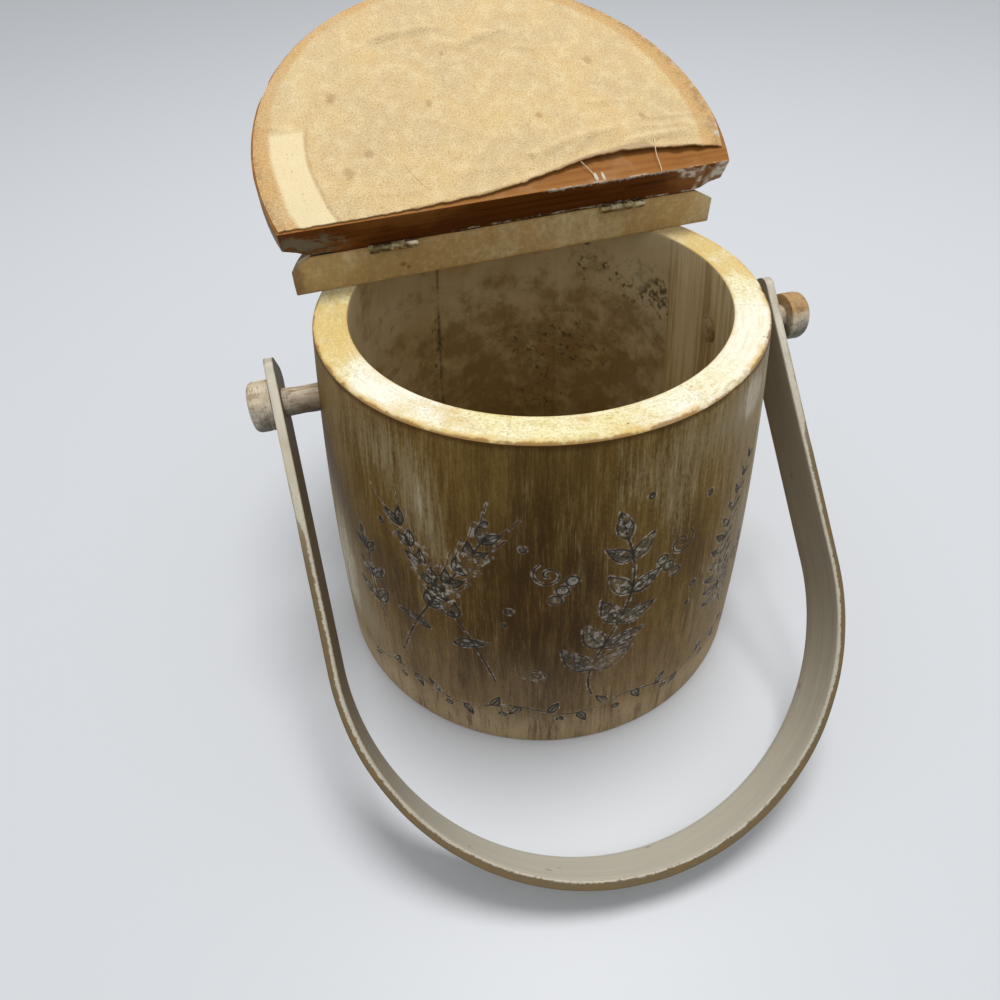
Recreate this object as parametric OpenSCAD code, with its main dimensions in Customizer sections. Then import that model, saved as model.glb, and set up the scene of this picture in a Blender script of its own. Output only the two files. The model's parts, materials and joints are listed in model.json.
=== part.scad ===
// Wooden firkin: a small coopered bucket carried as a purse, with a bentwood
// handle on two turned pegs and a round lid split across by a pair of hinges.
// Origin: centre of the foot, on the table. X runs along the pegs, -Y is the front.

/* [Tub] */
// Height from the table to the rim
tub_h = 166.5; // [140:0.5:200]
// Outer radius at the rim
rim_r = 85.5; // [75:0.5:92]
// Outer radius at the foot
foot_r = 101; // [86:0.5:108]
// Outward bow of the side halfway up
bow = 2.3; // [0:0.1:5]
// Wall thickness, measured level
wall = 13; // [10:0.5:16]
// Thickness of the bottom board
board_t = 7; // [5:0.5:10]
// Height of the bottom board above the table
board_z = 10; // [6:0.5:16]
// Depth of the groove that holds the bottom board
croze = 4; // [2:0.5:6]

/* [Pegs] */
// Height of the pegs above the table
peg_z = 137.4; // [125:0.1:145]
// Diameter of the peg's shaft
peg_d = 11; // [9:0.5:13]
// Diameter of the peg's head
head_d = 20; // [17:0.5:24]
// Length of the peg's head
head_len = 9; // [7:0.5:12]
// Distance from the middle to the left head's inner face
left_reach = 106.5; // [106:0.5:112]
// Distance from the middle to the right head's inner face
right_reach = 109.5; // [108:0.5:114]

/* [Handle] */
// Thickness of the bent strip
bail_t = 3.5; // [3:0.1:4]
// Width of the bent strip
bail_w = 22.5; // [18:0.5:26]
// Inner radius of the bend
bend_r = 99.4; // [98:0.1:101]
// Distance from the peg line to the centre of the bend
bend_drop = 103.4; // [95:0.1:120]
// Angle by which each leg leans outwards towards its peg
leg_lean = 1.1; // [0:0.1:1.3]
// Length of the ear past the peg line
ear_len = 16.5; // [14:0.5:20]
// Radius of the ear's corners
ear_round = 6; // [2:0.5:10]
// Sideways play that the handle has taken up along the pegs
bail_shift = -1.4; // [-1.5:0.1:0]

/* [Lid] */
// Radius of the lid disc
lid_r = 94; // [92:0.5:95]
// Thickness of the lid disc
lid_t = 14.5; // [12:0.5:16]
// Width of the bevel round the top edge
bevel_w = 8; // [4:0.5:10]
// Height of the bevel round the top edge
bevel_h = 4.5; // [2:0.5:6]
// Turn of the lid's hinge line from the peg line
lid_twist = 3.8; // [0:0.1:5]
// Offset of the lid disc to the right
lid_dx = 1.5; // [0:0.5:2]
// Offset of the lid disc to the back
lid_dy = 4; // [0:0.5:4]
// Distance from the middle to the front face of the fixed strip
strip_y = 32.7; // [30:0.1:40]
// Angle at which the lid stands open
lid_open = 155; // [0:1:155]
// Thickness of the cloth lining
lining_t = 0.7; // [0.4:0.1:0.8]

/* [Hinges] */
// Distance of each hinge's centre from the middle of the lid
hinge_x = 47.8; // [30:0.1:55]
// Length of a hinge
hinge_len = 19; // [17:0.5:22]
// Reach of a leaf from the pin
leaf_w = 8; // [7:0.5:10]
// Thickness of a leaf
leaf_t = 0.7; // [0.6:0.05:0.7]
// Diameter of the barrel
barrel_d = 3.2; // [3:0.1:3.2]
// Diameter of the pin
pin_d = 1.6; // [1.4:0.1:1.8]
// Length of a screw
screw_len = 9; // [6:0.5:10]

/* [Hidden] */
$fn = 128;
STAVES = ["stave_right", "stave_back_right", "stave_back", "stave_back_left",
          "stave_left", "stave_front_left", "stave_front", "stave_front_right"];
SIDES = ["left", "right"];

stave_angle = 360 / len(STAVES);
side_steps = 10;           // straight stretches that make up the bowed side
board_top = board_z + board_t;
board_edge = 1;            // bevel of the bottom board's edge
peg_proud = 1;             // how far a peg's end stands out of the inner wall
ear_play = 0.08;           // radial play of an ear on its peg
leg_inset = 0.02;          // the legs' lines cut this far into the bend's circle, not just touching it
half_gap = 1.9;            // from the hinge pins to either cut face
lining_gap = 0.3;          // room between the closed lid's cloth and the rim
pin_play = 0.05;           // radial play of the lid's knuckles on the pin
knuckles = 4;              // knuckles in a barrel, two to each leaf
knuckle_gap = 0.12;        // gap between two knuckles
notch_r = 1.75;            // clear radius round the other leaf's knuckles
screw_r = 1;
screw_head_r = 1.9;
screw_head_h = 0.9;
screw_tip = 2.5;
screw_x = 5.5;             // screws from the middle of their leaf
screw_y = 5.2;             // screws from the pin
slot_w = 0.4;
slot_h = 0.4;
big = 300;                 // larger than the whole object, for cutting

pin_z = tub_h + lid_t - leaf_t / 2;
pin_y = strip_y - half_gap;
panel_y = pin_y - half_gap;
panel_z = tub_h + lining_gap + lining_t;
knuckle_len = hinge_len / knuckles;

// Outer radius of the tub at height z
function side_r(z) = foot_r + (rim_r - foot_r) * z / tub_h + bow * 4 * z / tub_h * (1 - z / tub_h);
function inner_r(z) = side_r(z) - wall;
board_r = inner_r(board_z + board_t / 2) + croze;

// The leaning handle touches the table with the lower edge of its bend
bail_reach = bend_drop + bend_r + bail_t;
bail_slope = asin(peg_z / norm([bail_reach, bail_w / 2])) - atan(bail_w / 2 / bail_reach);

module stave(i) {
    outer = [for (k = [0 : side_steps]) let (z = tub_h * k / side_steps) [side_r(z), z]];
    inner = [for (k = [side_steps : -1 : 2]) let (z = tub_h * k / side_steps) [inner_r(z), z]];
    groove = [[inner_r(board_top), board_top], [board_r, board_top - board_edge],
              [board_r, board_z + board_edge], [inner_r(board_z), board_z], [inner_r(0), 0]];
    color("#9c8560") difference() {
        rotate([0, 0, stave_angle * (i - 0.5)])
            rotate_extrude(angle = stave_angle) polygon(concat(outer, inner, groove));
        if (i == 0) peg_bore();
        if (i == len(STAVES) / 2) mirror([1, 0, 0]) peg_bore();
    }
}

module peg_bore() {
    translate([rim_r / 2, 0, peg_z]) rotate([0, 90, 0]) cylinder(d = peg_d, h = foot_r);
}

module bottom_board() {
    color("#a08a64") rotate_extrude() polygon([
        [0, board_z], [inner_r(board_z), board_z], [board_r, board_z + board_edge],
        [board_r, board_top - board_edge], [inner_r(board_top), board_top], [0, board_top]]);
}

// A turned peg along +X: a shaft through the wall and a round-edged head outside
module peg(reach) {
    end = inner_r(peg_z) - peg_proud;
    tip = 0.5;
    round_r = 2.5;
    arc_steps = 6;
    head_edge = [for (k = [0 : arc_steps]) let (a = 90 * k / arc_steps)
        [head_d / 2 - round_r + round_r * cos(a), reach + head_len - round_r + round_r * sin(a)]];
    color("#c9bb9c") translate([0, 0, peg_z]) rotate([0, 90, 0]) rotate_extrude() polygon(concat(
        [[0, end], [peg_d / 2 - tip, end], [peg_d / 2, end + tip], [peg_d / 2, reach],
         [head_d / 2 - tip, reach], [head_d / 2, reach + tip]], head_edge, [[0, reach + head_len]]));
}

// The handle lies flat here: pegs on the X axis, bend towards -Y, strip width along Z
module handle_flat() {
    difference() {
        intersection() {
            translate([0, 0, -bail_w / 2]) linear_extrude(bail_w) difference() {
                bend_outline(bend_r + bail_t);
                bend_outline(bend_r);
            }
            ear_outline();
        }
        translate([-big / 2, 0, 0]) rotate([0, 90, 0]) cylinder(r = peg_d / 2 + ear_play, h = big);
    }
}

// A round bend of radius r, and the room between two legs that run on from it to the ears
module bend_outline(r) {
    leg_r = r - leg_inset;
    side = [leg_r * cos(leg_lean), -bend_drop - leg_r * sin(leg_lean)];
    rise = big / 2;
    spread = side[0] + (rise - side[1]) * tan(leg_lean);
    translate([0, -bend_drop]) circle(r = r);
    polygon([side, [spread, rise], [-spread, rise], [-side[0], side[1]]]);
}

// Side view of the handle, swept across it: square at the bend, corners rounded at the ears
module ear_outline() {
    reach = bend_drop + bend_r + bail_t * 2;
    corner = bail_w / 2 - ear_round;
    translate([-big / 2, 0, 0]) rotate([90, 0, 90]) linear_extrude(big) union() {
        translate([-reach, -bail_w / 2]) square([reach + ear_len - ear_round, bail_w]);
        translate([0, -corner]) square([ear_len, 2 * corner]);
        for (m = [-1, 1]) translate([ear_len - ear_round, m * corner]) circle(r = ear_round);
    }
}

module handle() {
    color("#c2b591") translate([bail_shift, 0, peg_z]) rotate([bail_slope, 0, 0]) handle_flat();
}

// Everything on the lid is drawn closed, square to its own hinge line
module lid_line() {
    rotate([0, 0, lid_twist]) children();
}

// Swings what is on the lid up and back round the hinge pins
module opened() {
    lid_line() translate([0, pin_y, pin_z]) rotate([-lid_open, 0, 0]) translate([0, -pin_y, -pin_z]) children();
}

module lid_disc(from_z) {
    top = tub_h + lid_t;
    translate([lid_dx, lid_dy, 0]) rotate_extrude() polygon([
        [0, from_z], [lid_r, from_z], [lid_r, top - bevel_h], [lid_r - bevel_w, top], [0, top]]);
}

module each_hinge() {
    for (m = [-1, 1]) translate([m * hinge_x, pin_y, pin_z]) children();
}

// Shallow beds that let the leaves in flush, and the screws' holes; side is 1 behind the pins, -1 before
module leaf_beds(side) {
    each_hinge() scale([1, side, 1]) {
        translate([-hinge_len / 2, 0, -leaf_t / 2]) cube([hinge_len, leaf_w, leaf_t * 2]);
        two_screws(0);
    }
}

module lid_strip() {
    color("#b3a172") lid_line() difference() {
        lid_disc(tub_h);
        translate([-big / 2, strip_y - big, 0]) cube([big, big, big]);
        leaf_beds(1);
    }
}

module lid_panel() {
    color("#6b3a20") opened() difference() {
        lid_disc(panel_z);
        translate([-big / 2, panel_y, 0]) cube([big, big, big]);
        leaf_beds(-1);
    }
}

module lid_lining() {
    inset = 1;
    color("#d2b98a") opened() difference() {
        translate([lid_dx, lid_dy, panel_z - lining_t]) cylinder(r = lid_r - inset, h = lining_t);
        translate([-big / 2, panel_y - inset, 0]) cube([big, big, big]);
    }
}

// One leaf with its pin along X through the origin and its plate towards +Y
module leaf(first, bore_r) {
    difference() {
        union() {
            translate([-hinge_len / 2, notch_r, -leaf_t / 2]) cube([hinge_len, leaf_w - notch_r, leaf_t]);
            for (k = [first : 2 : knuckles - 1])
                translate([-hinge_len / 2 + knuckle_len * k + knuckle_gap / 2, 0, 0]) {
                    rotate([0, 90, 0]) cylinder(d = barrel_d, h = knuckle_len - knuckle_gap);
                    translate([0, 0, -leaf_t / 2]) cube([knuckle_len - knuckle_gap, leaf_w / 2, leaf_t]);
                }
        }
        translate([-hinge_len, 0, 0]) rotate([0, 90, 0]) cylinder(r = bore_r, h = hinge_len * 2);
        two_screws(0);
    }
}

module hinge_leaf_strip(m) {
    color("#a8925a") lid_line() translate([m * hinge_x, pin_y, pin_z]) leaf(0, pin_d / 2);
}

module hinge_leaf_lid(m) {
    color("#a8925a") opened() translate([m * hinge_x, pin_y, pin_z])
        rotate([0, 0, 180]) leaf(0, pin_d / 2 + pin_play);
}

module hinge_pin(m) {
    color("#8f7a48") lid_line() translate([m * hinge_x - hinge_len / 2, pin_y, pin_z])
        rotate([0, 90, 0]) cylinder(d = pin_d, h = hinge_len);
}

// A pair of flat-headed screws in a leaf, head flush with its top face
module two_screws(slot) {
    for (m = [-1, 1]) translate([m * screw_x, screw_y, leaf_t / 2]) difference() {
        rotate_extrude() polygon([[0, 0], [screw_head_r, 0], [screw_r, -screw_head_h],
            [screw_r, screw_tip - screw_len], [0, -screw_len]]);
        if (slot > 0) translate([-screw_head_r, -slot / 2, -slot_h]) cube([screw_head_r * 2, slot, slot_h * 2]);
    }
}

module hinge_screws_strip() {
    color("#b59f63") lid_line() each_hinge() two_screws(slot_w);
}

module hinge_screws_lid() {
    color("#b59f63") opened() each_hinge() rotate([0, 0, 180]) two_screws(slot_w);
}

for (i = [0 : len(STAVES) - 1]) stave(i);
bottom_board();
lid_strip();
lid_panel();
lid_lining();
handle();
mirror([1, 0, 0]) peg(left_reach);  // peg_left
peg(right_reach);  // peg_right
for (s = [0, 1]) {
    hinge_leaf_strip(2 * s - 1);
    hinge_leaf_lid(2 * s - 1);
    hinge_pin(2 * s - 1);
}
hinge_screws_strip();
hinge_screws_lid();
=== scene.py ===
# Looks of a wooden firkin: a coopered and glazed bucket with a hinged half lid and a bentwood handle.
# Everything is in metres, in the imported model's own frame.
import json
import math
from collections import namedtuple

import bpy
import numpy as np
from mathutils import Matrix, Vector, noise


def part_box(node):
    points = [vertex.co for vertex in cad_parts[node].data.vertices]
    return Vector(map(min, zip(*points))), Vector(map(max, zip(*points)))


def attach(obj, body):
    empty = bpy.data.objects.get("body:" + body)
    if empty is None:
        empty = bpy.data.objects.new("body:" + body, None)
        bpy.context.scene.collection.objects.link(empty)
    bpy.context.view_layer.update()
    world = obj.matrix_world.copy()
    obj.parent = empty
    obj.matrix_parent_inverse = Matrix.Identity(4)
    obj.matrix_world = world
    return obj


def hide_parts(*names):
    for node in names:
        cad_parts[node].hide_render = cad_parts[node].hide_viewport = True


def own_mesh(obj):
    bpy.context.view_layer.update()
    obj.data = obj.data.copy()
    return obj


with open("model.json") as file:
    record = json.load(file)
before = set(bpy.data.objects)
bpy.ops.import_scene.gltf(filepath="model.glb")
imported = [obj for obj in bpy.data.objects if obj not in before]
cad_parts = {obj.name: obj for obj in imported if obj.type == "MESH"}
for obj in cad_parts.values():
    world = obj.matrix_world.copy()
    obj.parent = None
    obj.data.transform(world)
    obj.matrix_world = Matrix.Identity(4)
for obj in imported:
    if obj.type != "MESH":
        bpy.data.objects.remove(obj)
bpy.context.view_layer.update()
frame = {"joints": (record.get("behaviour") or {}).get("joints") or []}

MM = 0.001
QUARTER_TURN = math.pi / 2
NEAR = 1e-5

# Tub
STAVES = ["stave_right", "stave_back_right", "stave_back", "stave_back_left",
          "stave_left", "stave_front_left", "stave_front", "stave_front_right"]
STAVE_ANGLE = math.radians(360 / len(STAVES))
TUB_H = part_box("stave_front")[1].z
RIM_R = 85.5 * MM
FOOT_R = 101 * MM
BOW = 2.3 * MM
WALL = 13 * MM
BOARD_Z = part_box("bottom_board")[0].z
BOARD_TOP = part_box("bottom_board")[1].z
CROZE = 4 * MM
MEAN_R = 93 * MM

# Pegs and handle
PEG_Z = [j for j in frame["joints"] if j["name"] == "handle_swing"][0]["pos_m"][2]
PEG_D = 11 * MM
HEAD_D = 20 * MM
HEAD_LEN = 9 * MM
REACH = {"left": 106.5 * MM, "right": 109.5 * MM}
PEG_PLAY = 0.05 * MM
BAIL_T = 3.5 * MM
BAIL_W = 22.5 * MM
BEND_R = 99.4 * MM
BEND_DROP = 103.4 * MM
LEG_LEAN = math.radians(1.1)
EAR_LEN = 16.5 * MM
EAR_ROUND = 6 * MM
EAR_PLAY = 0.08 * MM
BAIL_SHIFT = -1.4 * MM

# Lid and hinges
LID_R = 94 * MM
LID_T = 14.5 * MM
LID_TOP = TUB_H + LID_T
BEVEL_W = 8 * MM
BEVEL_H = 4.5 * MM
LID_TWIST = math.radians(3.8)
LID_X = 1.5 * MM
LID_Y = 4 * MM
STRIP_Y = 32.7 * MM
HALF_GAP = 1.9 * MM
PIN_Y = STRIP_Y - HALF_GAP
PANEL_Y = PIN_Y - HALF_GAP
LINING_T = 0.7 * MM
LINING_R = 93 * MM
PANEL_Z = TUB_H + 0.3 * MM + LINING_T
HINGE_X = 47.8 * MM
HINGE_LEN = 19 * MM
LEAF_W = 8 * MM
LEAF_T = 0.7 * MM
PIN_Z = LID_TOP - LEAF_T / 2
LID_OPEN = math.radians(155)


def side_r(z):
    """Radius of the tub's bowed outer wall at a height"""
    share = z / TUB_H
    return FOOT_R + (RIM_R - FOOT_R) * share + BOW * 4 * share * (1 - share)


# The lid's parts are made closed and square to the hinge, then turned and swung open
OPENED = (Matrix.Rotation(LID_TWIST, 4, "Z") @ Matrix.Translation((0, PIN_Y, PIN_Z))
          @ Matrix.Rotation(-LID_OPEN, 4, "X") @ Matrix.Translation((0, -PIN_Y, -PIN_Z)))
TURNED = Matrix.Rotation(LID_TWIST, 4, "Z")

# The handle is made flat, pegs along X and bend towards -Y, then leant until its bend touches the table
BAIL_REACH = BEND_DROP + BEND_R + BAIL_T
BAIL_SLOPE = (math.asin(PEG_Z / math.hypot(BAIL_REACH, BAIL_W / 2)) - math.atan(BAIL_W / 2 / BAIL_REACH))
LEANT = Matrix.Translation((BAIL_SHIFT, 0, PEG_Z)) @ Matrix.Rotation(BAIL_SLOPE, 4, "X")


# Camera, at the photograph's own place and angle
EYE = Vector((-0.06637, -0.22724, 0.30013))
LOOK = Vector((0.14220, 0.67809, -0.72109))
RIGHTWARD = Vector((0.97041, -0.23913, -0.03351))
PICTURE = 1000
FOCAL_PX = 680
SENSOR = 36


def add_camera():
    lens = bpy.data.cameras.new("camera")
    lens.sensor_width = SENSOR
    lens.lens = SENSOR * FOCAL_PX / PICTURE
    lens.clip_start = 0.01
    lens.clip_end = 50
    camera = add_object("camera", lens)
    back = -LOOK.normalized()
    side = (RIGHTWARD - RIGHTWARD.dot(back) * back).normalized()
    turn = Matrix((side, back.cross(side), back)).transposed().to_4x4()
    camera.matrix_world = Matrix.Translation(EYE) @ turn
    bpy.context.scene.camera = camera


# Shader building blocks
class Field:
    """A number, vector or colour in a node tree; plus, minus, times and abs work as on a plain number"""

    def __init__(self, tree, socket):
        self.tree = tree
        self.socket = socket

    def __add__(self, other):
        return calc("ADD", self, other)

    def __sub__(self, other):
        return calc("SUBTRACT", self, other)

    def __rsub__(self, other):
        return calc("SUBTRACT", other, self)

    def __mul__(self, other):
        return calc("MULTIPLY", self, other)

    def __abs__(self):
        return calc("ABSOLUTE", self)


def node(tree, kind, **settings):
    made = tree.nodes.new("ShaderNode" + kind)
    for name, value in settings.items():
        setattr(made, name, value)
    return made


def feed(socket, value):
    """Links a field into an input, or sets a plain number, colour or vector on it"""
    if isinstance(value, Field):
        value.tree.links.new(value.socket, socket)
    else:
        socket.default_value = value


def built(kind, output, inputs, **settings):
    """Adds a node to the tree that its inputs come from, feeds it, and gives one of its outputs"""
    tree = next(value.tree for value in inputs.values() if isinstance(value, Field))
    made = node(tree, kind, **settings)
    for name, value in inputs.items():
        feed(made.inputs[name], value)
    return Field(tree, made.outputs[output])


def calc(operation, a, b=0.0, clamp=False):
    return built("Math", 0, {0: a, 1: b}, operation=operation, use_clamp=clamp)


def ramp(value, low, high, start=0.0, end=1.0):
    """Rises smoothly from start to end as the value goes from low to high"""
    numbers = {"Value": value, "From Min": low, "From Max": high, "To Min": start, "To Max": end}
    return built("MapRange", "Result", numbers, interpolation_type="SMOOTHSTEP")


def mix(share, a, b):
    """Colour a, and b over a share of it"""
    a, b = (value if isinstance(value, Field) else (*value, 1) for value in (a, b))
    return built("Mix", 2, {0: share, 6: a, 7: b}, data_type="RGBA", clamp_factor=True)


def scaled(vector, x, y, z):
    return built("VectorMath", 0, {0: vector, 1: (x, y, z)}, operation="MULTIPLY")


def length(vector):
    return built("VectorMath", "Value", {0: vector}, operation="LENGTH")


def joined(x, y, z):
    return built("CombineXYZ", 0, {"X": x, "Y": y, "Z": z})


def axis_of(vector, axis="Z"):
    return built("SeparateXYZ", axis, {0: vector})


def axes(vector, order):
    """The vector with its axes in another order, such as YZX"""
    return joined(*(axis_of(vector, axis) for axis in order))


def cloud(vector, scale, detail=2.0, roughness=0.5, distortion=0.0):
    return built("TexNoise", "Fac", {"Vector": vector, "Scale": scale, "Detail": detail,
                                     "Roughness": roughness, "Distortion": distortion})


def moved(vector, matrix):
    """Takes a vector through a rigid move, here the undoing of how a piece was set in place"""
    return built("Mapping", "Vector", {"Vector": vector, "Location": matrix.to_translation(),
                                       "Rotation": matrix.to_euler("XYZ")}, vector_type="POINT")


def stored(tree, name, output="Fac"):
    return Field(tree, node(tree, "Attribute", attribute_name=name).outputs[output])


def place(tree):
    return Field(tree, node(tree, "TexCoord").outputs["Object"])


def many(masks):
    """The strongest of several masks at each place"""
    total = masks[0]
    for other in masks[1:]:
        total = calc("MAXIMUM", total, other)
    return total


def mark(vector, middle, radii, softness, ragged, grain=300.0):
    """1 inside a soft-edged oval at a place, 0 outside; ragged breaks up its edge"""
    away = built("VectorMath", 0, {0: vector, 1: middle}, operation="SUBTRACT")
    far = length(scaled(away, *(1 / r for r in radii))) + (cloud(vector, grain, 4.0, 0.65) - 0.5) * ragged
    return ramp(far, 1 + softness, 1 - softness)


def face_marks(vector, y, places, ragged, grain=300.0):
    """Marks on an upright face at Y, from (x, z, half width, half height) in millimetres"""
    return many([mark(vector, (x * MM, y, z * MM), (wide * MM, 9 * MM, tall * MM), 0.35, ragged, grain)
                 for x, z, wide, tall in places])


def new_group(name, numbers, outputs):
    """A node group with a vector and some numbers going in, given as (name, value)"""
    tree = bpy.data.node_groups.new(name, "ShaderNodeTree")
    tree.interface.new_socket("Vector", in_out="INPUT", socket_type="NodeSocketVector")
    for label, value in numbers:
        socket = tree.interface.new_socket(label, in_out="INPUT", socket_type="NodeSocketFloat")
        socket.default_value = value
    for label, kind in outputs:
        tree.interface.new_socket(label, in_out="OUTPUT", socket_type="NodeSocket" + kind)
    inside = tree.nodes.new("NodeGroupInput").outputs
    inputs = {label: Field(tree, inside[label]) for label in ["Vector"] + [label for label, _ in numbers]}
    return tree, inputs, tree.nodes.new("NodeGroupOutput").inputs


def streaks_group():
    tree, inputs, outputs = new_group("streaks", [("Lines", 900.0), ("Run", 18.0)],
                                      [("Shade", "Float"), ("Lines", "Float")])
    squeeze = joined(inputs["Lines"], inputs["Lines"], inputs["Run"])
    long = built("VectorMath", 0, {0: inputs["Vector"], 1: squeeze}, operation="MULTIPLY")
    broad = cloud(scaled(long, 0.3, 0.3, 0.5), 1.0, 2.0)
    fine = cloud(long, 1.0, 3.0, 0.6)
    feed(outputs["Shade"], ramp(broad * 0.5 + fine * 0.5, 0.33, 0.67))
    feed(outputs["Lines"], ramp(fine, 0.53, 0.68))
    return tree


def patches_group():
    numbers = [("Scale", 40.0), ("Share", 0.3), ("Softness", 0.1), ("Detail", 3.0)]
    tree, inputs, outputs = new_group("patches", numbers, [("Mask", "Float")])
    field = cloud(inputs["Vector"], inputs["Scale"], inputs["Detail"], 0.6)
    middle = 0.68 - inputs["Share"] * 0.36
    feed(outputs["Mask"], ramp(field, middle - inputs["Softness"], middle + inputs["Softness"]))
    return tree


def specks_group():
    numbers = [("Scale", 400.0), ("Share", 0.1), ("Size", 0.3)]
    tree, inputs, outputs = new_group("specks", numbers, [("Mask", "Float")])
    cells = node(tree, "TexVoronoi")
    feed(cells.inputs["Vector"], inputs["Vector"])
    feed(cells.inputs["Scale"], inputs["Scale"])
    parts = node(tree, "SeparateColor")
    feed(parts.inputs[0], Field(tree, cells.outputs["Color"]))
    chosen = calc("LESS_THAN", Field(tree, parts.outputs[0]), inputs["Share"])
    size = inputs["Size"] * calc("ADD", 0.4, Field(tree, parts.outputs[1]) * 0.8)
    feed(outputs["Mask"], chosen * ramp(Field(tree, cells.outputs["Distance"]), size, size * 0.5))
    return tree


def round_group():
    tree, inputs, outputs = new_group("round the tub", [], [("Vector", "Vector")])
    unit = built("VectorMath", 0, {0: scaled(inputs["Vector"], 1, 1, 0)}, operation="NORMALIZE")
    both = {0: scaled(unit, MEAN_R, MEAN_R, 0), 1: scaled(inputs["Vector"], 0, 0, 1)}
    feed(outputs["Vector"], built("VectorMath", 0, both, operation="ADD"))
    return tree


STREAKS = streaks_group()
PATCHES = patches_group()
SPECKS = specks_group()
ROUND = round_group()
Streaks = namedtuple("Streaks", "shade lines")


def streaks(vector, lines, run):
    """Fine brush or grain lines along Z of the vector: shade is 0 to 1, lines are the thin pale ones alone"""
    shade = built("Group", "Shade", {"Vector": vector, "Lines": lines, "Run": run}, node_tree=STREAKS)
    return Streaks(shade, Field(shade.tree, shade.socket.node.outputs["Lines"]))


def patches(vector, scale, share, softness, detail=3.0):
    """Soft-edged patches that cover a share of the surface"""
    return built("Group", "Mask", {"Vector": vector, "Scale": scale, "Share": share, "Softness": softness,
                                   "Detail": detail}, node_tree=PATCHES)


def specks(vector, scale, share, size):
    """Small round specks, some larger than others, in a share of the cells"""
    return built("Group", "Mask", {"Vector": vector, "Scale": scale, "Share": share, "Size": size},
                 node_tree=SPECKS)


def unrolled(vector):
    """Puts a place on the tub's wall onto a cylinder, so that streaks keep one width from rim to foot"""
    return built("Group", "Vector", {"Vector": vector}, node_tree=ROUND)


def new_material(name):
    made = bpy.data.materials.new(name)
    made.use_nodes = True
    tree = made.node_tree
    return made, tree, tree.nodes["Principled BSDF"]


def finish_material(shader, colour, roughness, height=None, depth=0.1 * MM, strength=0.6, gloss=0.5):
    feed(shader.inputs["Base Color"], colour)
    feed(shader.inputs["Roughness"], roughness)
    shader.inputs["Specular IOR Level"].default_value = gloss
    if height is not None:
        raised = {"Strength": strength, "Distance": depth, "Height": height}
        feed(shader.inputs["Normal"], built("Bump", "Normal", raised))


# Colours, as the surface is, before any light; a few also stand in for painted shade, sheen or reflection, as
# said where they are used
INK = (0.022, 0.021, 0.018)
LEAF_GREEN = (0.070, 0.070, 0.040)
LEAF_GREY = (0.135, 0.127, 0.088)
LEAF_DARK = (0.030, 0.032, 0.022)
FLAKE_WHITE = (0.56, 0.52, 0.44)
FLAKE_MAUVE = (0.40, 0.34, 0.32)
GLAZE_DARK = (0.046, 0.021, 0.0015)
GLAZE_MID = (0.185, 0.108, 0.022)
GLAZE_LIGHT = (0.295, 0.197, 0.067)
GLAZE_PALE = (0.40, 0.33, 0.20)
GLAZE_GREY = (0.29, 0.232, 0.13)
GLAZE_CHALK = (0.56, 0.50, 0.39)
GLAZE_RED = (0.105, 0.041, 0.005)
# GLAZE_TAN is only used as the painted floor reflection at the tub's foot and painted sheen over wear on its
# sides
GLAZE_TAN = (0.46, 0.34, 0.20)
GLAZE_GOLD = (0.13, 0.072, 0.012)
RIM_CREAM = (0.81, 0.73, 0.395)
RIM_WHITE = (0.87, 0.85, 0.73)
RIM_GOLD = (0.66, 0.44, 0.12)
RIM_BROWN = (0.30, 0.15, 0.035)
RIM_GRIT = (0.54, 0.42, 0.15)
RIM_PIT = (0.10, 0.05, 0.015)
INSIDE_PALE = (0.68, 0.58, 0.37)
INSIDE_TAN = (0.52, 0.39, 0.19)
INSIDE_BROWN = (0.22, 0.12, 0.028)
STROKE_TAN = (0.70, 0.52, 0.25)
STROKE_PALE = (0.86, 0.74, 0.48)
MOULD = (0.035, 0.026, 0.014)
CLOTH_TAN = (0.72, 0.53, 0.253)
CLOTH_CLEAN = (0.90, 0.78, 0.485)
CLOTH_PALE = (0.84, 0.695, 0.405)
CLOTH_GREY = (0.64, 0.49, 0.27)
CLOTH_ORANGE = (0.59, 0.325, 0.103)
CLOTH_BROWN = (0.30, 0.165, 0.06)
CLOTH_PAINTED_SHADE = (0.40, 0.28, 0.155)
PINE_RED = (0.165, 0.050, 0.0075)
PINE_DARK = (0.048, 0.013, 0.0012)
PINE_BARE = (0.36, 0.155, 0.036)
PINE_RAW = (0.24, 0.085, 0.017)
OLD_GLUE = (0.44, 0.26, 0.12)
WHITE_PAINT = (0.58, 0.54, 0.44)
OLD_PAINT = (0.16, 0.135, 0.085)
STRIP_KHAKI = (0.50, 0.34, 0.12)
STRIP_PALE = (0.66, 0.52, 0.26)
STRIP_GOLD = (0.42, 0.23, 0.055)
STRIP_OLIVE = (0.33, 0.27, 0.14)
PEG_PALE = (0.62, 0.53, 0.37)
PEG_WHITE = (0.74, 0.68, 0.54)
PEG_GREY = (0.33, 0.31, 0.255)
PEG_PAINTED_SHADE = (0.088, 0.082, 0.065)
PEG_GOLD = (0.40, 0.215, 0.052)
PEG_DIRT = (0.20, 0.122, 0.052)
PEG_PIT = (0.20, 0.085, 0.03)
HANDLE_CREAM = (0.50, 0.445, 0.335)
HANDLE_WHITE = (0.70, 0.65, 0.53)
HANDLE_GOLD = (0.125, 0.084, 0.032)
HANDLE_SHADE_AND_DIRT = (0.150, 0.108, 0.060)
HANDLE_GREY = (0.40, 0.375, 0.30)
HANDLE_TAN = (0.33, 0.25, 0.13)
BRASS_DULL = (0.46, 0.37, 0.19)
BRASS_DARK = (0.20, 0.15, 0.07)
BRASS_BRIGHT = (0.80, 0.70, 0.50)
THREAD_TAN = (0.62, 0.50, 0.30)
THREAD_PALE = (0.80, 0.70, 0.48)
FLOOR_GREY = (0.635, 0.65, 0.67, 1)
ROOM_LIGHT = (0.95, 0.97, 1.0, 1)

# How much of the golden stain each peg has on top
PEG_STAIN = {"left": 0.25, "right": 0.9}

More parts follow.
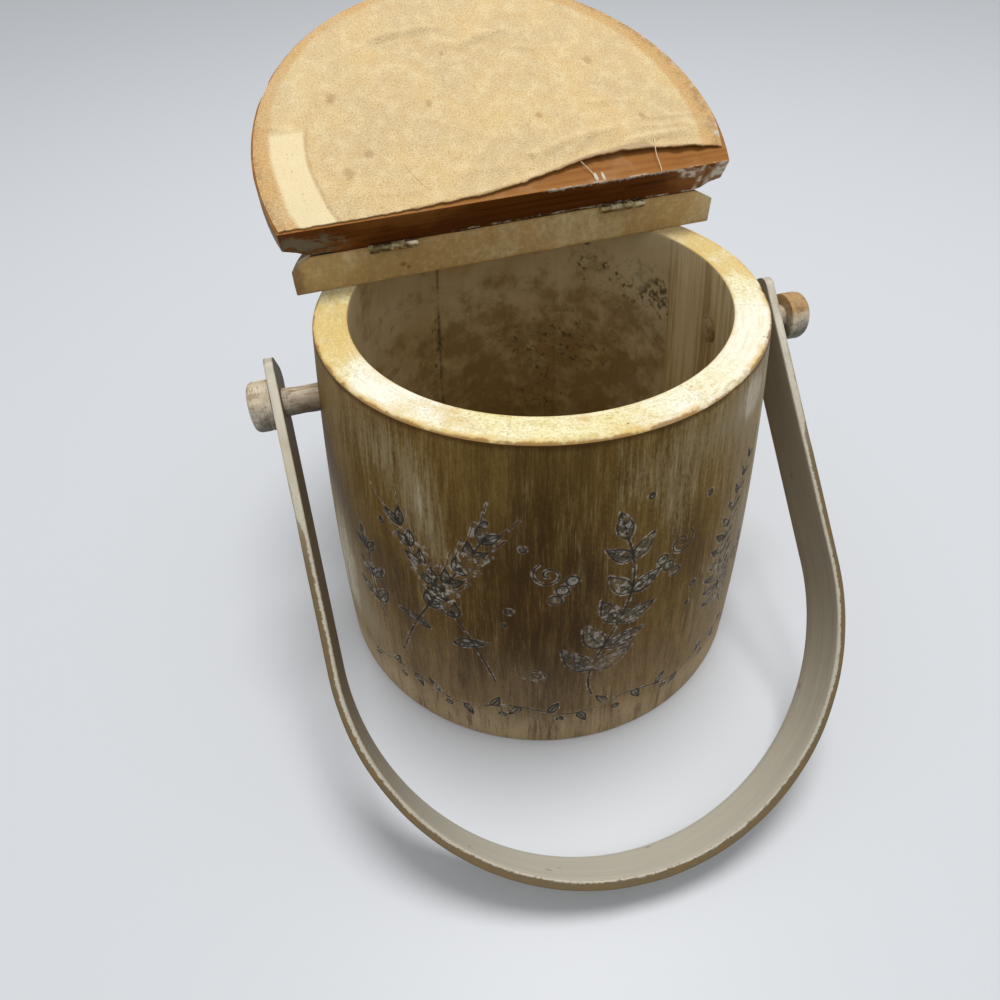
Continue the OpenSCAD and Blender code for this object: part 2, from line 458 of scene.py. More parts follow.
# Scuffs of white paint on the lid's cut face, and dark marks on the strip, as face_marks takes them
PANEL_SCUFFS = [(-84, 176, 16, 6), (90, 175, 6, 8), (76, 171, 4, 2.2), (72, 168.2, 3.4, 1.4),
                (81, 175, 1.4, 6)]
STRIP_MARKS = [(-44.8, 171.8, 1.1, 0.8), (-42.8, 170.3, 1.0, 0.7), (-88, 174, 4, 9)]
# Stains on the cloth as (x, y, radius) in millimetres
CLOTH_SPOTS = [(-57, -31, 2.2), (-49, -1, 1.6), (-58, 7, 1.8), (-20, -22, 1.3), (22, -8, 1.1), (52, -34, 1.6),
               (12, 12, 1.2), (-8, -48, 1.0), (64, 0, 1.3)]


def glaze(along, pale, light, reflection_and_wear=None):
    """Brown glaze dragged with a brush along Z of the vector: thinner where it is light, tan where the wash
    mask lies, and worn through where it is pale.
    On the tub, light also carries painted shade on the front and painted sheen on the sides, and the wash
    mask is painted floor reflection at the foot and painted sheen over wear on the sides. Gives its colour,
    roughness and height."""
    fine = streaks(along, 2500.0, 130.0)
    soft = streaks(along, 1000.0, 65.0)
    wide = streaks(along, 170.0, 11.0)
    tone = patches(scaled(along, 1, 1, 0.5), 26.0, 0.5, 0.16)
    level = wide.shade * 0.28 + tone * 0.22 + light * 0.5
    colour = mix(ramp(level, 0.1, 0.9), GLAZE_DARK, GLAZE_MID)
    red = patches(scaled(along, 1, 1, 0.4), 42.0, 0.3, 0.1)
    colour = mix(red * 0.4, colour, GLAZE_RED)
    streak = fine.shade * 0.5 + soft.shade * 0.5
    if reflection_and_wear:
        thin = ramp(streak * 0.45 + wide.shade * 0.55, 0.0, 0.75, 0.35, 1.0)
        colour = mix(reflection_and_wear * thin, colour, GLAZE_TAN)
    colour = mix(ramp(streak, 0.4, 0.9) * (level * 0.42 + 0.12), colour, GLAZE_LIGHT)
    colour = mix(ramp(streak, 0.45, 0.05, 0.0, 0.5), colour, GLAZE_DARK)
    grit = cloud(scaled(along, 1, 1, 0.5), 1100.0, 4.0, 0.8)
    colour = mix(ramp(grit, 0.53, 0.64, 0.0, 0.4) * level, colour, GLAZE_LIGHT)
    colour = mix(ramp(grit, 0.46, 0.36, 0.0, 0.4), colour, GLAZE_DARK)
    feathered = pale + ((streak - 0.5) * 0.8 + (grit - 0.5))
    colour = mix(ramp(feathered, 0.12, 0.95) * ramp(pale, 0.0, 0.2) * 0.75, colour, GLAZE_GREY)
    patchy = pale + (wide.shade - 0.6) * 0.6
    colour = mix(ramp(feathered, 0.6, 1.2) * ramp(patchy, 0.68, 0.98) * 0.8, colour, GLAZE_CHALK)
    scratches = fine.lines * ramp(soft.shade, 0.6, 0.95) * (pale * 0.5 + 0.25)
    colour = mix(scratches, colour, GLAZE_PALE)
    colour = mix(specks(along, 170.0, 0.025, 0.12) * 0.7, colour, MOULD)
    return colour, ramp(streak, 0, 1, 0.46, 0.66), streak + wide.shade * 0.4


def glazed_outside():
    """The tub's outer wall, with a worn painted ornament on the front"""
    made, tree, shader = new_material("glazed_outside")
    around = unrolled(place(tree))
    shaken = axis_of(around) + (cloud(scaled(around, 1, 1, 0.3), 90.0, 4.0) - 0.5) * (26 * MM)
    # Painted floor reflection: the glaze turns tan towards the foot; painted sheen over some wear turns it
    # tan on the lighter sides. The light attribute holds painted shade on the front middle and painted sheen
    # on the sides.
    foot = ramp(shaken, 85 * MM, 30 * MM, 0.0, 0.3) + ramp(shaken, 30 * MM, 10 * MM, 0.0, 0.62)
    light = stored(tree, "light")
    reflection_and_wear = many([foot, ramp(light, 1.0, 1.6, 0.0, 0.75)])
    colour, roughness, height = glaze(around, stored(tree, "pale"), light, reflection_and_wear)
    colour = mix(stored(tree, "gold") * 0.7, colour, GLAZE_GOLD)
    colour = add_ornament(around, colour)
    # Painted shadow: a dark band just under the rim's outer edge
    painted_lip_shadow = ramp(axis_of(around) + cloud(around, 60.0, 3.0) * (3 * MM),
               TUB_H - 2.2 * MM, TUB_H + 0.6 * MM)
    colour = mix(painted_lip_shadow * 0.75, colour, GLAZE_DARK)
    seam = ramp(abs(stored(tree, "share")), 0.495, 0.4995)
    colour = mix(seam * patches(around, 30.0, 0.35, 0.1) * 0.5, colour, GLAZE_DARK)
    finish_material(shader, colour, roughness, height, 0.08 * MM, 0.5, gloss=0.1)
    return made


def glazed_lid(name, undo):
    """The same glaze on the lid's outer faces, brushed from side to side"""
    made, tree, shader = new_material(name)
    here = axes(moved(place(tree), undo), "YZX")
    worn = patches(here, 20.0, 0.3, 0.12)
    colour, roughness, height = glaze(here, worn * 0.6, 0.6)
    finish_material(shader, colour, roughness, height, 0.08 * MM, 0.5, gloss=0.18)
    return made


def add_ornament(around, colour):
    """Thin ink lines with pale worn edges, grey-green fills, and white where the paint has flaked"""
    ink, leaf, flake = (stored(around.tree, name) for name in ("ink", "leaf", "flake"))
    worn = patches(around, 130.0, 0.34, 0.05)
    crumbs = patches(around, 420.0, 0.36, 0.06, 4.0)
    wash = patches(around, 70.0, 0.5, 0.12)
    tone = mix(wash, LEAF_GREEN, LEAF_GREY)
    tone = mix(ramp(leaf, 0.9, 0.98, 0.0, 0.8), tone, LEAF_DARK)
    colour = mix(leaf * (0.72 - worn * 0.5), colour, tone)
    near = ramp(ink, 0.95, 0.3)
    white = mix(wash, FLAKE_WHITE, FLAKE_MAUVE)
    edge = near * (crumbs * 0.45 + 0.04)
    colour = mix(edge, colour, white)
    painted = calc("MAXIMUM", near * 0.8, leaf)
    loose = flake * crumbs * calc("ADD", painted, 0.04, clamp=True)
    colour = mix(loose * 0.85, colour, white)
    line = ramp(ink, 0.16, -0.04) * (1.0 - worn * 0.8)
    return mix(line * 0.92, colour, INK)


def worn_rim():
    """Cream paint on the rim, rubbed with gold-brown glaze that stayed in its fine lines and outer edge"""
    made, tree, shader = new_material("worn_rim")
    here = place(tree)
    radius = length(scaled(here, 1, 1, 0))
    run = joined(radius, stored(tree, "stave"), stored(tree, "share") * (MEAN_R * STAVE_ANGLE))
    rubbed = streaks(run, 1500.0, 55.0)
    colour = mix(patches(here, 34.0, 0.45, 0.14), RIM_CREAM, RIM_WHITE)
    white = stored(tree, "white")
    colour = mix(white * 0.8, colour, RIM_WHITE)
    gold = cloud(here, 62.0, 5.0, 0.65)
    kept = 1.0 - white * 0.7
    stained = ramp(gold + stored(tree, "gold") * 0.26, 0.5, 0.74, 0.0, 0.8)
    colour = mix(stained * kept, colour, RIM_GOLD)
    colour = mix(ramp(rubbed.shade, 0.45, 0.0, 0.0, 0.28), colour, RIM_GOLD)
    colour = mix(rubbed.lines * 0.35, colour, RIM_WHITE)
    grit = cloud(here, 950.0, 5.0, 0.8)
    colour = mix(ramp(grit, 0.5, 0.61, 0.0, 0.8) * kept, colour, RIM_GRIT)
    crust = cloud(scaled(run, 1, 1, 0.3), 620.0, 5.0, 0.75)
    colour = mix(ramp(crust, 0.52, 0.62, 0.0, 0.6) * kept, colour, RIM_GRIT)
    colour = mix(ramp(grit, 0.45, 0.34, 0.0, 0.3), colour, RIM_WHITE)
    pits = many([specks(here, 420.0, 0.1, 0.2), specks(here, 150.0, 0.07, 0.12)])
    colour = mix(pits * 0.7, colour, RIM_PIT)
    edge = radius + (cloud(here, 130.0, 5.0, 0.7) - 0.5) * (5 * MM)
    band = patches(here, 48.0, 0.55, 0.12) * 0.65 + 0.1
    colour = mix(ramp(edge, RIM_R - 3.0 * MM, RIM_R - 0.8 * MM) * band, colour, RIM_GOLD)
    colour = mix(ramp(edge, RIM_R - 1.0 * MM, RIM_R - 0.1 * MM) * 0.85, colour, RIM_BROWN)
    inner = RIM_R - WALL
    colour = mix(ramp(edge, inner + 1.6 * MM, inner + 0.2 * MM, 0.0, 0.4), colour, RIM_GOLD)
    chip = stored(tree, "chip")
    colour = mix(ramp(chip, 0.15, 0.35) * ramp(chip, 0.75, 0.45) * 0.3, colour, RIM_BROWN)
    seam = ramp(abs(stored(tree, "share")), 0.496, 0.4995)
    colour = mix(seam * ramp(gold, 0.4, 0.55) * 0.45, colour, RIM_BROWN)
    finish_material(shader, colour, 0.62, grit + rubbed.shade, 0.14 * MM, 0.6, gloss=0.25)
    return made


def stained_inside():
    """Pale paint inside, clouded brown and spotted black with old damp, dry brush marks on the right, and a
    painted patch of light high on the back right
    """
    made, tree, shader = new_material("stained_inside")
    here = place(tree)
    around = unrolled(here)
    fine = streaks(around, 620.0, 24.0)
    damp = stored(tree, "mould")
    colour = mix(patches(here, 19.0, 0.5, 0.16), INSIDE_PALE, INSIDE_TAN)
    blotch = ramp(cloud(here, 70.0, 6.0, 0.7, 0.2) * 0.8 + damp * 0.2, 0.43, 0.62)
    colour = mix(blotch * 0.72, colour, INSIDE_BROWN)
    bare = patches(here, 85.0, 0.32, 0.07, 5.0)
    colour = mix(bare * (0.6 - damp * 0.3), colour, INSIDE_PALE)
    black = stored(tree, "black")
    grain = cloud(here, 270.0, 5.0, 0.72) * 0.8 + black * 0.13
    colour = mix(ramp(grain, 0.5, 0.58) * ramp(black, 0.05, 0.5) * 0.9, colour, MOULD)
    colour = mix(specks(here, 260.0, 0.07, 0.2) * 0.6, colour, MOULD)
    brushed = stored(tree, "brushed")
    broad = streaks(around, 230.0, 10.0)
    colour = mix(brushed * 0.8, colour, mix(fine.shade, STROKE_TAN, STROKE_PALE))
    colour = mix(brushed * ramp(broad.shade, 0.6, 0.1) * 0.5, colour, INSIDE_BROWN)
    colour = mix(brushed * ramp(fine.shade, 0.4, 0.1) * 0.25, colour, INSIDE_BROWN)
    # Painted light: a paler wedge high on the back right wall, where light comes in past the lid strip
    colour = mix(stored(tree, "wedge") * 0.6, colour, INSIDE_PALE)
    seam = ramp(abs(stored(tree, "share")), 0.478, 0.4975)
    ragged = patches(around, 45.0, 0.6, 0.15)
    seam = seam * stored(tree, "open_seam") * calc("ADD", ragged, 0.15, clamp=True)
    colour = mix(seam * 0.6, colour, MOULD)
    height = fine.shade * 0.4 - blotch * 0.5
    finish_material(shader, colour, 0.6, height, 0.1 * MM, 0.4, gloss=0.25)
    return made


def cut_pine():
    """Red-brown pine of the lid's cut face, its grain across, with rests of white paint along the edges"""
    made, tree, shader = new_material("cut_pine")
    here = moved(place(tree), OPENED.inverted())
    grain = streaks(axes(here, "YZX"), 850.0, 14.0)
    broad = streaks(axes(here, "YZX"), 260.0, 9.0)
    colour = mix(grain.shade * 0.6 + broad.shade * 0.4, PINE_DARK, PINE_RED)
    light = patches(scaled(here, 0.4, 1, 1), 60.0, 0.3, 0.1)
    colour = mix(light * 0.4, colour, PINE_BARE)
    height = axis_of(here) + (cloud(here, 420.0, 4.0, 0.7) - 0.5) * (4 * MM)
    across = axis_of(here, "X")
    top_edge = ramp(height, LID_TOP - 1.6 * MM, LID_TOP - 0.7 * MM)
    right_side = ramp(across, -40 * MM, -18 * MM)
    lower_edge = ramp(height, PANEL_Z + 1.1 * MM, PANEL_Z + 0.1 * MM)
    under_peel = ramp(across, 10 * MM, 16 * MM) * ramp(across, 78 * MM, 70 * MM)
    scuffs = face_marks(here, PANEL_Y, PANEL_SCUFFS, 2.2, 260.0)
    crumbs = patches(scaled(here, 0.6, 1, 1), 330.0, 0.5, 0.07)
    white = many([scuffs * calc("ADD", crumbs, 0.15, clamp=True),
                  top_edge * right_side * crumbs * 0.8, lower_edge * under_peel * 0.7])
    paint = mix(ramp(across, -70 * MM, -50 * MM), OLD_PAINT, WHITE_PAINT)
    colour = mix(white * 0.9, colour, paint)
    finish_material(shader, colour, 0.6, grain.shade + white, 0.1 * MM, 0.5, gloss=0.08)
    return made


def bare_pine():
    """Raw orange-brown wood of the lid's underside, seen where the cloth has come away"""
    made, tree, shader = new_material("bare_pine")
    here = moved(place(tree), OPENED.inverted())
    grain = streaks(axes(here, "YZX"), 620.0, 9.0)
    colour = mix(grain.shade, PINE_RAW, PINE_BARE)
    colour = mix(patches(here, 85.0, 0.3, 0.1) * 0.3, colour, OLD_GLUE)
    edge = (ramp(axis_of(here, "Y"), PANEL_Y - 1.0 * MM, PANEL_Y - 0.2 * MM)
            * ramp(axis_of(here, "X"), 12 * MM, 17 * MM))
    crumbs = patches(here, 300.0, 0.4, 0.06)
    scratches = many([mark(here, (x * MM, 26 * MM, PANEL_Z), (0.6 * MM, 2 * MM, 9 * MM), 0.4, 0.8)
                      for x in (34.7, 37.7)])
    colour = mix(many([edge * crumbs * 0.8, scratches]), colour, WHITE_PAINT)
    finish_material(shader, colour, 0.6, grain.shade, 0.12 * MM, 0.5, gloss=0.1)
    return made


def painted_strip():
    """Khaki-cream paint, brushed up and down over the end of the strip, golden brown along its lower and top
    edges
    """
    made, tree, shader = new_material("painted_strip")
    here = moved(place(tree), TURNED.inverted())
    fine = streaks(here, 950.0, 150.0)
    cross = streaks(axes(here, "YZX"), 700.0, 30.0)
    colour = mix(patches(here, 42.0, 0.5, 0.13), STRIP_KHAKI, STRIP_PALE)
    colour = mix(fine.shade * 0.45, colour, STRIP_GOLD)
    colour = mix(cross.lines * 0.3, colour, STRIP_PALE)
    height = axis_of(here) + (cloud(here, 260.0, 4.0, 0.7) - 0.5) * (3.5 * MM)
    # Golden-brown bands along the strip's lower edge, where it sits on the rim, and along its top edge
    edges = many([ramp(height, TUB_H + 1.4 * MM, TUB_H + 0.3 * MM),
                  ramp(height, LID_TOP - 1.3 * MM, LID_TOP - 0.4 * MM)])
    colour = mix(edges * 0.7, colour, STRIP_GOLD)
    colour = mix(patches(here, 95.0, 0.42, 0.09, 5.0) * 0.45, colour, STRIP_GOLD)
    grit = cloud(here, 1100.0, 3.0, 0.75)
    colour = mix(ramp(grit, 0.5, 0.64, 0.0, 0.45), colour, STRIP_GOLD)
    mottle = cloud(here, 480.0, 4.0, 0.75)
    colour = mix(ramp(mottle, 0.51, 0.62, 0.0, 0.5), colour, STRIP_OLIVE)
    colour = mix(ramp(mottle, 0.47, 0.36, 0.0, 0.35), colour, STRIP_PALE)
    dark = face_marks(here, STRIP_Y, STRIP_MARKS, 1.2)
    colour = mix(dark * 0.75, colour, INSIDE_BROWN)
    colour = mix(specks(here, 260.0, 0.06, 0.18) * 0.6, colour, INSIDE_BROWN)
    finish_material(shader, colour, 0.58, fine.shade + cross.shade, 0.07 * MM, 0.5)
    return made


def old_cloth():
    """Thin felted cloth, tan and mottled: paler where the rim kept it clean, orange where it overhung"""
    made, tree, shader = new_material("old_cloth")
    flat = stored(tree, "cut", "Vector")
    radius = length(flat) + (cloud(flat, 30.0, 2.0, 0.5) - 0.5) * (3 * MM)
    tone = cloud(flat, 32.0, 5.0, 0.65)
    colour = mix(ramp(tone, 0.36, 0.64), CLOTH_GREY, CLOTH_TAN)
    mottle = cloud(flat, 150.0, 5.0, 0.7)
    colour = mix(ramp(mottle, 0.46, 0.66, 0.0, 0.5), colour, CLOTH_PALE)
    colour = mix(ramp(mottle, 0.46, 0.32, 0.0, 0.28), colour, CLOTH_ORANGE)
    inner = RIM_R - WALL
    kept = (ramp(radius, inner - 1.2 * MM, inner + 0.6 * MM)
            * ramp(radius, RIM_R + 1.0 * MM, RIM_R - 1.2 * MM))
    strong = (ramp(axis_of(flat, "X"), -40 * MM, -60 * MM)
              * ramp(axis_of(flat, "Y"), -17.5 * MM, -15.5 * MM, 0.12, 1.0))
    colour = mix(kept * strong * 0.72, colour, CLOTH_CLEAN)
    outer = ramp(radius, RIM_R - 1.5 * MM, RIM_R + 1.0 * MM)
    colour = mix(outer * ramp(tone, 0.3, 0.6, 0.35, 0.75), colour, CLOTH_ORANGE)
    line = (ramp(radius, inner - 2.4 * MM, inner - 0.8 * MM)
            * ramp(radius, inner + 0.5 * MM, inner - 0.6 * MM) * strong)
    colour = mix(line * 0.3, colour, CLOTH_BROWN)
    rub = ramp(radius, LINING_R - 5.5 * MM, LINING_R - 1.5 * MM)
    colour = mix(rub * ramp(mottle, 0.4, 0.6) * 0.7, colour, CLOTH_BROWN)
    stains = many([mark(flat, (x * MM, y * MM, 0), (r * MM, r * MM * 1.3, 1), 0.6, 1.4)
                   for x, y, r in CLOTH_SPOTS])
    colour = mix(stains * 0.5, colour, CLOTH_BROWN)
    colour = mix(specks(flat, 520.0, 0.22, 0.3) * 0.35, colour, CLOTH_BROWN)
    grain = cloud(flat, 1300.0, 4.0, 0.8)
    felted = 1.0 - kept * strong * 0.65
    colour = mix(ramp(grain, 0.5, 0.66, 0.0, 0.55) * felted, colour, CLOTH_PALE)
    colour = mix(ramp(grain, 0.5, 0.34, 0.0, 0.6) * felted, colour, CLOTH_BROWN)
    folds = patches(flat, 60.0, 0.5, 0.15)
    # Painted shade in a band under the cloth's curled, turned-over edge
    colour = mix(stored(tree, "underlap") * (folds * 0.3 + 0.6), colour, CLOTH_PAINTED_SHADE)
    frayed = ramp(stored(tree, "frayed"), 0.25, 0.9)
    dusty = calc("ADD", ramp(mottle, 0.4, 0.6), 0.3, clamp=True)
    colour = mix(frayed * dusty * 0.8, colour, CLOTH_BROWN)
    white = (ramp(radius, LINING_R - 1.6 * MM, LINING_R - 0.6 * MM)
             * patches(flat, 110.0, 0.22, 0.05))
    colour = mix(white * 0.8, colour, WHITE_PAINT)
    fuzz = cloud(flat, 2600.0, 3.0, 0.7)
    colour = mix(ramp(fuzz, 0.42, 0.6, 0.16, 0.0), colour, CLOTH_BROWN)
    finish_material(shader, colour, 0.92, fuzz + mottle * 0.8, 0.22 * MM, 0.7, gloss=0.15)
    shader.inputs["Sheen Weight"].default_value = 0.12
    return made


def turned_peg(side):
    """Whitish worn paint on a turned peg, grain along it, with golden-brown stain on top and painted shade on
    its underside
    """
    made, tree, shader = new_material("peg_paint_" + side)
    here = place(tree)
    grain = streaks(axes(here, "YZX"), 900.0, 60.0)
    colour = mix(grain.shade, PEG_PALE, PEG_WHITE)
    colour = mix(patches(here, 95.0, 0.4, 0.12) * 0.6, colour, PEG_GREY)
    shaken = axis_of(here) + (cloud(here, 130.0, 4.0, 0.65) - 0.5) * (16 * MM)
    # Painted shade on the peg's underside
    colour = mix(ramp(shaken, PEG_Z + 3 * MM, PEG_Z - 3 * MM) * 0.9, colour, PEG_PAINTED_SHADE)
    top = ramp(shaken, PEG_Z + 1 * MM, PEG_Z + 8 * MM)
    colour = mix(top * PEG_STAIN[side], colour, PEG_GOLD)
    from_middle = abs(axis_of(here, "X"))
    shaft = ramp(from_middle, REACH[side] - 5 * MM, REACH[side] - 7 * MM)
    rings = cloud(scaled(here, 1, 0.14, 0.14), 1500.0, 5.0, 0.75)
    colour = mix((1.0 - shaft) * ramp(rings, 0.5, 0.62, 0.0, 0.55), colour, PEG_DIRT)
    colour = mix(shaft * ramp(grain.shade, 0.5, 0.1) * 0.55, colour, PEG_DIRT)
    pits = patches(scaled(here, 0.45, 1, 1), 520.0, 0.3, 0.04, 4.0)
    colour = mix(pits * 0.45, colour, PEG_PIT)
    dirt = patches(scaled(here, 0.5, 1, 1), 150.0, 0.5, 0.12, 5.0)
    colour = mix(shaft * (dirt * 0.6 + 0.05), colour, PEG_DIRT)
    inner = side_r(PEG_Z) - WALL
    tip = ramp(from_middle, inner + 1.2 * MM, inner + 0.6 * MM)
    colour = mix(tip * 0.85, colour, mix(dirt, INSIDE_TAN, INSIDE_BROWN))
    finish_material(shader, colour, 0.62, grain.shade - pits * 0.8, 0.15 * MM, 0.5)
    return made


def bent_strip():
    """Cream paint over the bent strip: grey-beige inside the loop with painted shade on the legs' inner faces
    and a painted highlight at the bend, golden brown along the worn edges
    """
    made, tree, shader = new_material("handle_paint")
    across, depth, along = (stored(tree, name) for name in ("across", "depth", "along"))
    run = joined(across, depth, along)
    here = place(tree)
    grain = streaks(run, 780.0, 10.0)
    fine = streaks(run, 1900.0, 35.0)
    colour = mix(grain.shade, HANDLE_CREAM, HANDLE_GREY)
    colour = mix(fine.lines * 0.35, colour, HANDLE_WHITE)
    far = abs(along)
    inner = ramp(depth, 0.6 * MM, 0.1 * MM)
    # Painted shade on the inner faces of the legs, which face the tub, deeper on the left leg; the inner face
    # at the bend gets a painted highlight in white
    left = ramp(along, 40 * MM, -40 * MM, 0.5, 0.95)
    colour = mix(inner * ramp(far, 60 * MM, 170 * MM) * left, colour, HANDLE_SHADE_AND_DIRT)
    colour = mix(inner * ramp(far, 120 * MM, 40 * MM) * 0.4, colour, HANDLE_WHITE)
    grit = cloud(here, 900.0, 4.0, 0.75)
    edge = ramp(abs(across), BAIL_W / 2 - 1.0 * MM, BAIL_W / 2 - 0.3 * MM)
    colour = mix(edge * ramp(grit, 0.42, 0.6) * 0.5, colour, HANDLE_WHITE)
    drift = cloud(scaled(run, 1, 1, 0.5), 85.0, 5.0, 0.75) - 0.5
    legs = ramp(far + drift * (20 * MM), 208 * MM, 216 * MM)
    wandering = depth + drift * (legs * (6 * MM) + 1.8 * MM) + (grit - 0.5) * (2.2 * MM)
    line = wandering - legs * (1.6 * MM) - ramp(far, 50 * MM, 120 * MM, 0.0, 0.8 * MM)
    gold = ramp(line, 0.35 * MM, 0.9 * MM)
    colour = mix(edge * gold * 0.92, colour, HANDLE_GOLD)
    dark = ramp(cloud(scaled(run, 1, 1, 0.4), 420.0, 4.0, 0.75), 0.5, 0.62)
    colour = mix(edge * gold * dark * 0.5, colour, INSIDE_BROWN)
    # Dark specks on the edges, in the same dark colour as the painted shade
    colour = mix(edge * ramp(grit, 0.51, 0.6) * 0.5, colour, HANDLE_SHADE_AND_DIRT)
    rubbed = patches(scaled(run, 1, 1, 0.6), 48.0, 0.42, 0.06)
    colour = mix(edge * legs * rubbed * 0.7, colour, HANDLE_TAN)
    outer = ramp(depth, BAIL_T - 0.9 * MM, BAIL_T - 0.3 * MM)
    clouded = patches(here, 30.0, 0.55, 0.15)
    colour = mix(outer * (clouded * 0.45 + 0.2), colour, HANDLE_GOLD)
    ends = ramp(far, 190 * MM, 262 * MM)
    pale = patches(run, 60.0, 0.6, 0.15)
    colour = mix(ends * edge * (pale * 0.4 + 0.35), colour, HANDLE_WHITE)
    dirt = specks(scaled(run, 1, 1, 0.5), 330.0, 0.06, 0.28)
    colour = mix(dirt * 0.5, colour, INSIDE_BROWN)
    colour = mix(specks(here, 240.0, 0.07, 0.2) * 0.6, colour, INSIDE_BROWN)
    height = grain.shade + fine.shade * 0.5
    finish_material(shader, colour, 0.55, height, 0.1 * MM, 0.5, gloss=0.18)
    return made


def old_brass(name, bright):
    """Tarnished brass with crumbs of the surrounding paint, rubbed brighter where it turns"""
    made, tree, shader = new_material(name)
    here = place(tree)
    dull = patches(here, 190.0, 0.5, 0.12, 4.0)
    colour = mix(dull, BRASS_BRIGHT if bright else BRASS_DULL, BRASS_DARK)
    paint = patches(here, 330.0, 0.2 if bright else 0.4, 0.1)
    colour = mix(paint, colour, STRIP_PALE)
    finish_material(shader, colour, ramp(dull, 0, 1, 0.3, 0.55), dull, 0.05 * MM, 0.4)
    feed(shader.inputs["Metallic"], 1.0 - paint)
    return made


def board_inside():
    """Bottom board: stained pale paint with rings and dirt"""
    made, tree, shader = new_material("bottom_paint")
    here = place(tree)
    grain = streaks(axes(here, "YZX"), 420.0, 12.0)
    colour = mix(grain.shade, INSIDE_TAN, INSIDE_PALE)
    blotch = patches(here, 38.0, 0.5, 0.1, 5.0)
    colour = mix(blotch * 0.7, colour, INSIDE_BROWN)
    spots = patches(here, 120.0, 0.25, 0.1, 5.0)
    colour = mix(spots * 0.45, colour, MOULD)
    finish_material(shader, colour, 0.65, grain.shade, 0.12 * MM, 0.4)
    return made


def cotton_thread():
    """Pale twisted thread"""
    made, tree, shader = new_material("thread")
    twist = cloud(place(tree), 2500.0, 2.0)
    finish_material(shader, mix(ramp(twist, 0.4, 0.6), THREAD_TAN, THREAD_PALE), 0.9)
    return made


# Small makers' tools
def deselect():
    if bpy.context.object and bpy.context.object.mode != "OBJECT":
        bpy.ops.object.mode_set(mode="OBJECT")
    bpy.ops.object.select_all(action="DESELECT")


def only(piece):
    deselect()
    piece.select_set(True)
    bpy.context.view_layer.objects.active = piece


def add_object(name, data):
    made = bpy.data.objects.new(name, data)
    bpy.context.scene.collection.objects.link(made)
    return made


def apply_place(piece):
    only(piece)
    bpy.ops.object.transform_apply(location=True, rotation=True, scale=True)


def apply_modifier(piece, kind, **settings):
    modifier = piece.modifiers.new(kind.lower(), kind)
    for name, value in settings.items():
        setattr(modifier, name, value)
    only(piece)
    bpy.ops.object.modifier_apply(modifier=modifier.name)


def cut_with(piece, tool, operation="DIFFERENCE"):
    """Takes a tool's shape out of a piece, or keeps only what lies inside it, and puts the tool away"""
    apply_modifier(piece, "BOOLEAN", object=tool, operation=operation, solver="EXACT")
    bpy.data.objects.remove(tool)


def block(size, middle):
    """A plain box"""
    deselect()
    bpy.ops.mesh.primitive_cube_add(size=1, location=middle)
    made = bpy.context.object
    made.scale = size
    apply_place(made)
    return made


def bore(piece, radius, depth, middle):
    """A round hole along X"""
    deselect()
    bpy.ops.mesh.primitive_cylinder_add(vertices=ROUND_SIDES, radius=radius, depth=depth, location=middle,
                                        rotation=(0, QUARTER_TURN, 0))
    tool = bpy.context.object
    apply_place(tool)
    cut_with(piece, tool)


def open_up(piece):
    """Puts a piece in edit mode, beside any other that is selected"""
    bpy.context.view_layer.objects.active = piece
    piece.select_set(True)
    bpy.ops.object.mode_set(mode="EDIT")
    bpy.ops.mesh.select_mode(type="EDGE")


def close_up(piece):
    bpy.ops.object.mode_set(mode="OBJECT")
    return piece


def pick(piece, kind, test):
    """Selects the edges or faces of a piece in edit mode that pass a test, and nothing else"""
    bpy.ops.mesh.select_mode(type={"edges": "EDGE", "polygons": "FACE"}[kind])
    bpy.ops.mesh.select_all(action="DESELECT")
    bpy.ops.object.mode_set(mode="OBJECT")
    for item in getattr(piece.data, kind):
        item.select = test(piece.data, item)
    bpy.ops.object.mode_set(mode="EDIT")


def both_ends(mesh, edge):
    return mesh.vertices[edge.vertices[0]].co, mesh.vertices[edge.vertices[1]].co


def slice_at(axis, places, **settings):
    """Cuts a piece in edit mode across an axis, 0 to 2 for X to Z, at each of some places"""
    for at in places:
        bpy.ops.mesh.select_all(action="SELECT")
        bpy.ops.mesh.bisect(plane_co=[at * (axis == a) for a in range(3)],
                            plane_no=[axis == a for a in range(3)], **settings)


def face_outwards():
    bpy.ops.mesh.select_all(action="SELECT")
    bpy.ops.mesh.normals_make_consistent(inside=False)


def smooth(piece, degrees):
    only(piece)
    bpy.ops.object.shade_smooth_by_angle(angle=math.radians(degrees))


def points_of(mesh):
    flat = np.empty(len(mesh.vertices) * 3)
    mesh.vertices.foreach_get("co", flat)
    return flat.reshape(-1, 3)


def set_points(mesh, points):
    mesh.vertices.foreach_set("co", np.ascontiguousarray(points, dtype=np.float32).ravel())
    mesh.update()


def store(mesh, name, values):
    layer = mesh.attributes.get(name) or mesh.attributes.new(name, "FLOAT", "POINT")
    layer.data.foreach_set("value", np.asarray(values, dtype=np.float32))


def hill(value, middle, half):
    return np.exp(-((value - middle) / half) ** 2)


def turned(degrees, middle):
    """Signed difference of two angles in degrees"""
    return (degrees - middle + 180) % 360 - 180


def rough(points, scale, seed):
    """Smooth noise from -1 to 1 at each point"""
    return np.array([noise.noise(Vector(p) * scale + Vector((seed, 0, 0))) for p in points])


# Staves
ROW = 2 * MM
COLUMNS = 36
LAYERS = 9
FRONT_STAVES = (5, 6, 7)
PEG_STAVES = {0: 1, 4: -1}
BRUSHED_STAVES = (0, 7)
RIM_EASE = 1.5 * MM
INNER_EASE = 0.8 * MM
FOOT_EASE = 0.6 * MM
OUTSIDE, RIM, INSIDE = 0, 1, 2
ROUND_SIDES = 72


